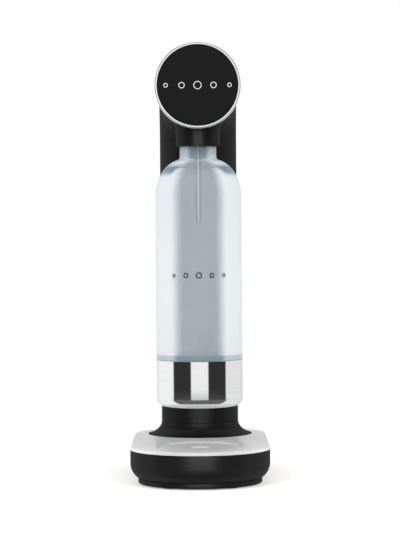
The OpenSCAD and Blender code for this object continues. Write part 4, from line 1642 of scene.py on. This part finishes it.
@dataclass
class Bottle(Assembly):
    """Clear bottle with its bright steel cup."""

    wall: float = 1.6 * MM
    neck_radius: float = 18.25 * MM
    neck_wall: float = 3 * MM
    shoulder: float = 38 * MM
    shoulder_foot: float = 64 * MM
    mark_height: float = 128 * MM
    mark_pitch: float = 13 * MM
    mark_line: float = 1.0 * MM
    mark_depth: Point2 = (0.05 * MM, 0.06 * MM)
    mark_radii: Sequence[float] = (1.9 * MM, 2.5 * MM, 3.1 * MM, 2.5 * MM, 1.9 * MM)
    shoulder_centre: float = 14 * MM
    neck_length: float = 25 * MM
    sheet: float = 0.8 * MM

    def build(self) -> None:
        """Builds the bottle and its cup."""
        self.cup()
        self.glass()
        self.mark()

    def outline(self, inset: float) -> Profile:
        """Returns the bottle's wall from the middle of its foot to the neck's top.

        Args:
            inset: How far the line lies inside the bottle's outside.
        """
        low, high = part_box("bottle")
        cup_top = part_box("bottle_cup")[1].z
        radius = high.x - inset
        base_radius = high.x - self.sheet - 0.1 * MM - inset
        foot = low.z + inset
        shoulder_z = high.z - self.shoulder_foot - 0.4 * inset
        neck = self.neck_radius - (self.neck_wall if inset else 0)
        reach = radius - self.shoulder_centre
        height = self.shoulder - 0.6 * inset
        curve = [(self.shoulder_centre + reach * math.cos(a), shoulder_z + height * math.sin(a))
                 for a in (math.pi / 2 * i / 40 for i in range(41))]
        curve = [p for p in curve if p[0] > neck + 4.5 * MM]
        corners: list[Corner] = [
            (0, foot + 2.5 * MM, 0),
            (14 * MM, foot + 2 * MM, 8 * MM),
            (26 * MM, foot, 5 * MM),
            (base_radius, foot, 10 * MM - inset),
            (base_radius, cup_top + 0.25 * MM + inset, 0.2 * MM),
            (radius, cup_top + 0.9 * MM + inset, 0.4 * MM),
        ]
        top = high.z + (PAST if inset else 0)
        tail: list[Corner] = [(neck, high.z - self.neck_length - 1.2 * MM - inset, 8 * MM), (neck, top, 0)]
        body = rounded(corners + [(*curve[0], 0.0)])[:-1]
        return body + curve[:-1] + rounded([(*curve[-1], 0.0)] + tail, steps=10)

    def glass(self) -> None:
        """Builds the bottle with its two walls and its open neck."""
        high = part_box("bottle")[1]
        outside = self.outline(0)[:-1]
        inside = self.outline(self.wall)[:-1]
        lip = rounded(
            [
                (*outside[-1], 0),
                (self.neck_radius, high.z, 0.8 * MM),
                (self.neck_radius - self.neck_wall, high.z, 0.8 * MM),
                (*inside[-1], 0),
            ]
        )
        profile = outside[:-1] + lip + inside[:-1][::-1]
        piece = revolve("bottle_blown", profile, (0, self.places.bottle_y, 0), segments=160)
        finish = replace(
            self.finishes.bottle,
            cup_top=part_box("bottle_cup")[1].z,
            shoulder_low=high.z - self.shoulder_foot + 22 * MM,
            shoulder_high=high.z - self.neck_length - 8 * MM,
            neck_low=high.z - self.neck_length - 2 * MM,
        )
        self.put(piece, finish, "bottle", "bottle")

    def mark(self) -> None:
        """Builds a plain row of small rings on the bottle's front, bent round its wall."""
        low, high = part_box("bottle")
        radius, height = high.x, low.z + self.mark_height
        piece = ring_row(
            "bottle_drop_mark", self.mark_radii, self.mark_pitch, self.mark_line, self.mark_depth,
            (0, height), 32,
        )
        for vertex in piece.data.vertices:
            turn, reach = vertex.co.x / radius, radius - vertex.co.y
            vertex.co.x = reach * math.sin(turn)
            vertex.co.y = self.places.bottle_y - reach * math.cos(turn)
        tidy(piece)
        self.put(piece, self.finishes.disc, "bottle")

    def cup(self) -> None:
        """Builds the polished cup with its rolled top edge and rounded bottom."""
        low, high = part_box("bottle_cup")
        radius, sheet = high.x, self.sheet
        turn = 9 * MM
        profile = rounded(
            [
                (0, low.z, 0),
                (radius, low.z, turn),
                (radius, high.z, sheet * 0.49),
                (radius - sheet, high.z, sheet * 0.49),
                (radius - sheet, low.z + sheet, turn - sheet),
                (0, low.z + sheet, 0),
            ],
            steps=14,
        )
        piece = revolve("bottle_cup_shell", profile, (0, self.places.bottle_y, 0), segments=192)
        self.put(piece, self.finishes.polished, "bottle", "bottle_cup")


# ---------------------------------------------------------------- inner pieces


@dataclass
class Works(Assembly):
    """Gas system, frame and holder: detailed where they show, better finishes on the rest."""

    thread_pitch: float = 4 * MM
    thread_radius: float = 10.4 * MM
    thread_ridge: float = 1.4 * MM
    thread_length: float = 10 * MM

    def build(self) -> None:
        """Builds the springs, screws and thread, and dresses the CAD nodes that stay."""
        self.springs()
        for node in ("valve_block_screws", "frame_screws", "spine_screws"):
            screws(self, node, "housing")
        self.cylinder()
        self.dress_carried()

    def springs(self) -> None:
        """Builds the four coil springs, and gives each of the three that a joint presses a mesh of its own.
        """
        self.spring("knob_spring", "housing", 0.6 * MM, 5.0, Axis.DEEP)
        self.spring("plunger_spring", "housing", 0.5 * MM, 4.5, Axis.UPRIGHT, "plunger_push")
        self.spring("valve_pin_spring", "cylinder", 0.4 * MM, 6.5, Axis.UPRIGHT, "valve_pin_push")
        self.spring("relief_spring", "holder", 0.35 * MM, 5.5, Axis.UPRIGHT, "relief_lift")

    def spring(
        self, node: str, body: str, wire: float, turns: float, axis: Axis, follows: str | None = None
    ) -> None:
        """Builds a coil spring in its CAD node's room.

        Args:
            node: The CAD node that it stands for.
            body: The body that it rides on.
            wire: Radius of the wire.
            turns: Number of turns.
            axis: Direction of its axis.
            follows: The joint that presses it, if one does.
        """
        low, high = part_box(node)
        length = high.z - low.z if axis is Axis.UPRIGHT else high.y - low.y
        radius = (high.x - low.x) / 2 - wire
        sizes = {"Radius": radius, "Wire_Radius": wire, "Rise": length - 2 * wire, "Turns": turns}
        piece = self.coil.grow(node + "_coil", self.finishes.spring, **sizes)
        middle = (low + high) / 2
        if axis is Axis.UPRIGHT:
            place = Matrix.Translation((middle.x, middle.y, low.z + wire))
        else:
            place = Matrix.Translation((middle.x, low.y + wire, middle.z))
            place = place @ Matrix.Rotation(-math.pi / 2, 4, "X")
        piece.data.transform(place)
        tidy(piece, 60.0, turn_out=False)
        self.put(piece, self.finishes.spring, body, node)
        if follows:
            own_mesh(piece)

    def cylinder(self) -> None:
        """Builds the gas cylinder and its screw valve."""
        places = self.places
        low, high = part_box("gas_cylinder")
        radius = high.x
        neck = 13.5 * MM
        shoulder_top = high.z - 10 * MM
        curve = [(neck + (radius - neck) * math.cos(a), shoulder_top - 30 * MM + 30 * MM * math.sin(a))
                 for a in (math.pi / 2 * i / 24 for i in range(25))]
        body = rounded(
            [(0, low.z + 3 * MM, 0), (radius * 0.62, low.z + 2 * MM, 20 * MM), (radius * 0.75, low.z, 5 * MM),
             (radius, low.z, 8 * MM), (*curve[0], 0)],
            steps=8,
        )
        neck_line = rounded(
            [(*curve[-2], 0), (neck, shoulder_top, 1 * MM), (neck, high.z, 0.6 * MM), (0, high.z, 0)]
        )
        profile = body[:-1] + curve[:-1] + neck_line[1:]
        piece = revolve("gas_cylinder_body", profile, (0, places.column_y, 0), segments=128)
        self.put(piece, self.finishes.lacquer, "cylinder", "gas_cylinder")
        self.valve()

    def valve(self) -> None:
        """Builds the cylinder's brass valve with its flange, thread and bored stem."""
        places = self.places
        low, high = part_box("cylinder_valve")
        flange = (high.x - low.x) / 2
        ridge, length = self.thread_ridge, self.thread_length
        core = self.thread_radius - ridge
        profile = rounded(
            [
                (1.65 * MM, low.z + 2 * MM, 0.2 * MM),
                (9 * MM, low.z + 2 * MM, 0.5 * MM),
                (9 * MM, low.z + 20 * MM, 0.2 * MM),
                (flange, low.z + 20 * MM, 0.8 * MM),
                (flange, high.z - length, 0.8 * MM),
                (core, high.z - length, 0.2 * MM),
                (core, high.z, 0.8 * MM),
                (3.4 * MM, high.z, 0.3 * MM),
                (3.4 * MM, high.z - 5 * MM, 0.2 * MM),
                (1.65 * MM, high.z - 5 * MM, 0.1 * MM),
            ],
            closed=True,
        )
        body = revolve("cylinder_valve_body", profile, (0, places.column_y, 0), segments=96)
        rise = length - 2 * ridge
        sizes = {"Radius": core, "Ridge": ridge, "Rise": rise, "Turns": rise / self.thread_pitch}
        winding = self.thread.grow("valve_thread", self.finishes.brass, **sizes)
        winding.data.transform(Matrix.Translation((0, places.column_y, high.z - length + ridge)))
        piece = join([body, winding])
        tidy(piece, turn_out=False)
        self.put(piece, self.finishes.brass, "cylinder", "cylinder_valve")

    def dress_carried(self) -> None:
        """Gives each CAD node that stays its finish, after the record's own slots."""
        by_slot = {finish.slot.value: finish for finish in vars(self.finishes).values()}
        named = {part["node"]: part["material_slot"] for part in frame["record"]["subparts"]}
        for node, piece in frame["nodes"].items():
            if not piece.hide_render:
                by_slot[named[node]].dress_node(node)
                LOG.info("%s: carried over in %s", node, named[node])


# ---------------------------------------------------------------- studio


@dataclass
class Studio:
    """Plain pale floor, soft light and the camera."""

    places: Places
    distance: float = 1.9
    focal: float = 128.3
    eye_z: float = 0.233
    aim_x: float = 0.00115
    pitch: float = 0.5
    roll: float = -0.42
    strip: float = 1.0
    dark: float = 0.035
    sides: float = 1.04
    far_side: float = 0.86
    back: float = 0.8
    ground: float = 0.14
    overhead: float = 1.3
    floor_radius: float = 0.9
    floor_fade: Point2 = (0.3, 0.6)
    floor_colour: Colour = (0.9, 0.893, 0.88)
    floor_glow: float = 0.3
    fill: float = 22.0
    lamp_size: float = 1.4
    lamp_place: Corner = (1.1, -1.25, 1.05)
    strip_end: Point2 = (21, 25)
    side_start: Point2 = (71, 77)
    side_balance: Point2 = (-0.5, 0.5)
    back_start: Point2 = (125, 170)
    flag_top: Point2 = (0.35, 0.5)
    behind_start: Point2 = (88, 105)
    ceiling: Point2 = (0.86, 0.97)
    ground_start: Point2 = (70, 82)
    horizon: Point2 = (-0.19, -0.09)

    def build(self) -> None:
        """Sets up the camera, the floor and the light."""
        self.camera()
        self.floor()
        self.lights()
        self.world()
        bpy.context.scene.view_settings.view_transform = "Standard"

    def camera(self) -> None:
        """Sets the camera in front of the bottle, nearly level."""
        data = bpy.data.cameras.new("camera")
        data.lens = self.focal
        data.sensor_width = 36.0
        camera = bpy.data.objects.new("camera", data)
        camera.location = (self.aim_x, self.places.bottle_y - self.distance, self.eye_z)
        tilt = Matrix.Rotation(math.radians(90 - self.pitch), 3, "X")
        tilt = tilt @ Matrix.Rotation(math.radians(self.roll), 3, "Z")
        camera.rotation_euler = tilt.to_euler()
        bpy.context.scene.collection.objects.link(camera)
        bpy.context.scene.camera = camera

    def floor(self) -> None:
        """Lays the round pale floor, which fades into the surround at its edge."""
        ring = arc((0, 0), self.floor_radius, 0, 360, 96)[:-1]
        piece = make_piece("floor", [(x, y, 0) for x, y in ring], [range(96)])
        made = bpy.data.materials.new("pale_floor")
        graph = empty_tree(made)
        place = graph.add("ShaderNodeTexCoord").outputs["Object"]
        reach = graph.add("ShaderNodeVectorMath", {0: place}, operation="LENGTH").outputs["Value"]
        inputs = {
            "Base Color": (*self.floor_colour, 1.0),
            "Roughness": 0.9,
            "Specular IOR Level": 0.1,
            "Emission Color": (1.0, 1.0, 1.0, 1.0),
            "Emission Strength": self.floor_glow,
        }
        pale = graph.add("ShaderNodeBsdfPrincipled", inputs).outputs[0]
        clear = graph.add("ShaderNodeBsdfTransparent").outputs[0]
        fade = graph.span(reach, *self.floor_fade)
        graph.add("ShaderNodeOutputMaterial", {"Surface": graph.mix(fade, pale, clear)})
        piece.data.materials.append(made)
        piece.visible_glossy = False

    def lights(self) -> None:
        """Hangs two soft lamps that fill the pale surfaces and leave the reflections alone."""
        for side in (-1, 1):
            data = bpy.data.lights.new(f"fill_{side}", "AREA")
            data.shape = "DISK"
            data.size = self.lamp_size
            data.energy = self.fill
            lamp = bpy.data.objects.new(data.name, data)
            lamp.location = (side * self.lamp_place[0], *self.lamp_place[1:])
            aim = Vector((0, self.places.bottle_y, self.places.head_z / 2)) - lamp.location
            lamp.rotation_euler = aim.to_track_quat("-Z", "Y").to_euler()
            lamp.visible_glossy = False
            bpy.context.scene.collection.objects.link(lamp)

    def world(self) -> None:
        """Builds the soft surround: a bright strip in front, dark flags beside it, pale sides and ceiling."""
        world = bpy.data.worlds.new("studio")
        bpy.context.scene.world = world
        graph = empty_tree(world)
        direction = graph.add("ShaderNodeTexCoord").outputs["Generated"]
        x, y, z = graph.add("ShaderNodeSeparateXYZ", {0: direction}).outputs
        azimuth = graph.math("ABSOLUTE", graph.math("ARCTAN2", x, graph.times(y, -1.0)))
        degrees = graph.times(azimuth, 180 / math.pi)
        lopsided = graph.span(x, *self.side_balance, self.sides, self.sides * self.far_side)
        pale = graph.times(lopsided, graph.span(degrees, *self.back_start, 1.0, self.back))
        strip = graph.span(degrees, *self.strip_end, self.strip, self.dark)
        level = graph.higher(strip, graph.times(graph.span(degrees, *self.side_start), pale))
        flag = graph.times(graph.span(z, *self.flag_top, 1.0, 0.0), level)
        wall = graph.higher(flag, graph.times(graph.span(degrees, *self.behind_start), level))
        above = graph.higher(wall, graph.span(z, *self.ceiling, 0.0, self.overhead))
        ground = graph.higher(graph.times(graph.span(degrees, *self.ground_start), pale), self.ground)
        low = graph.span(z, *self.horizon, 1.0, 0.0)
        high = graph.math("SUBTRACT", 1.0, low)
        total = graph.math("ADD", graph.times(above, high), graph.times(ground, low))
        light, seen = (
            graph.add("ShaderNodeBackground", {"Color": (1, 1, 1, 1), "Strength": strength}).outputs[0]
            for strength in (total, 1.0)
        )
        eye = graph.add("ShaderNodeLightPath").outputs["Is Camera Ray"]
        graph.add("ShaderNodeOutputWorld", {"Surface": graph.mix(eye, light, seen)})


# ---------------------------------------------------------------- main


def main() -> None:
    """Builds the sub-assemblies in order, then the studio."""
    logging.basicConfig(level=logging.INFO, format="%(name)s: %(message)s")
    places = Places.read()
    shared = (places, Finishes(), repeat_tree(), coil_tree(), thread_tree())
    for assembly in (Base, Shells, Knob, Bottle, Works):
        assembly(*shared).build()
    Studio(places).build()


if __name__ == "__main__":
    main()
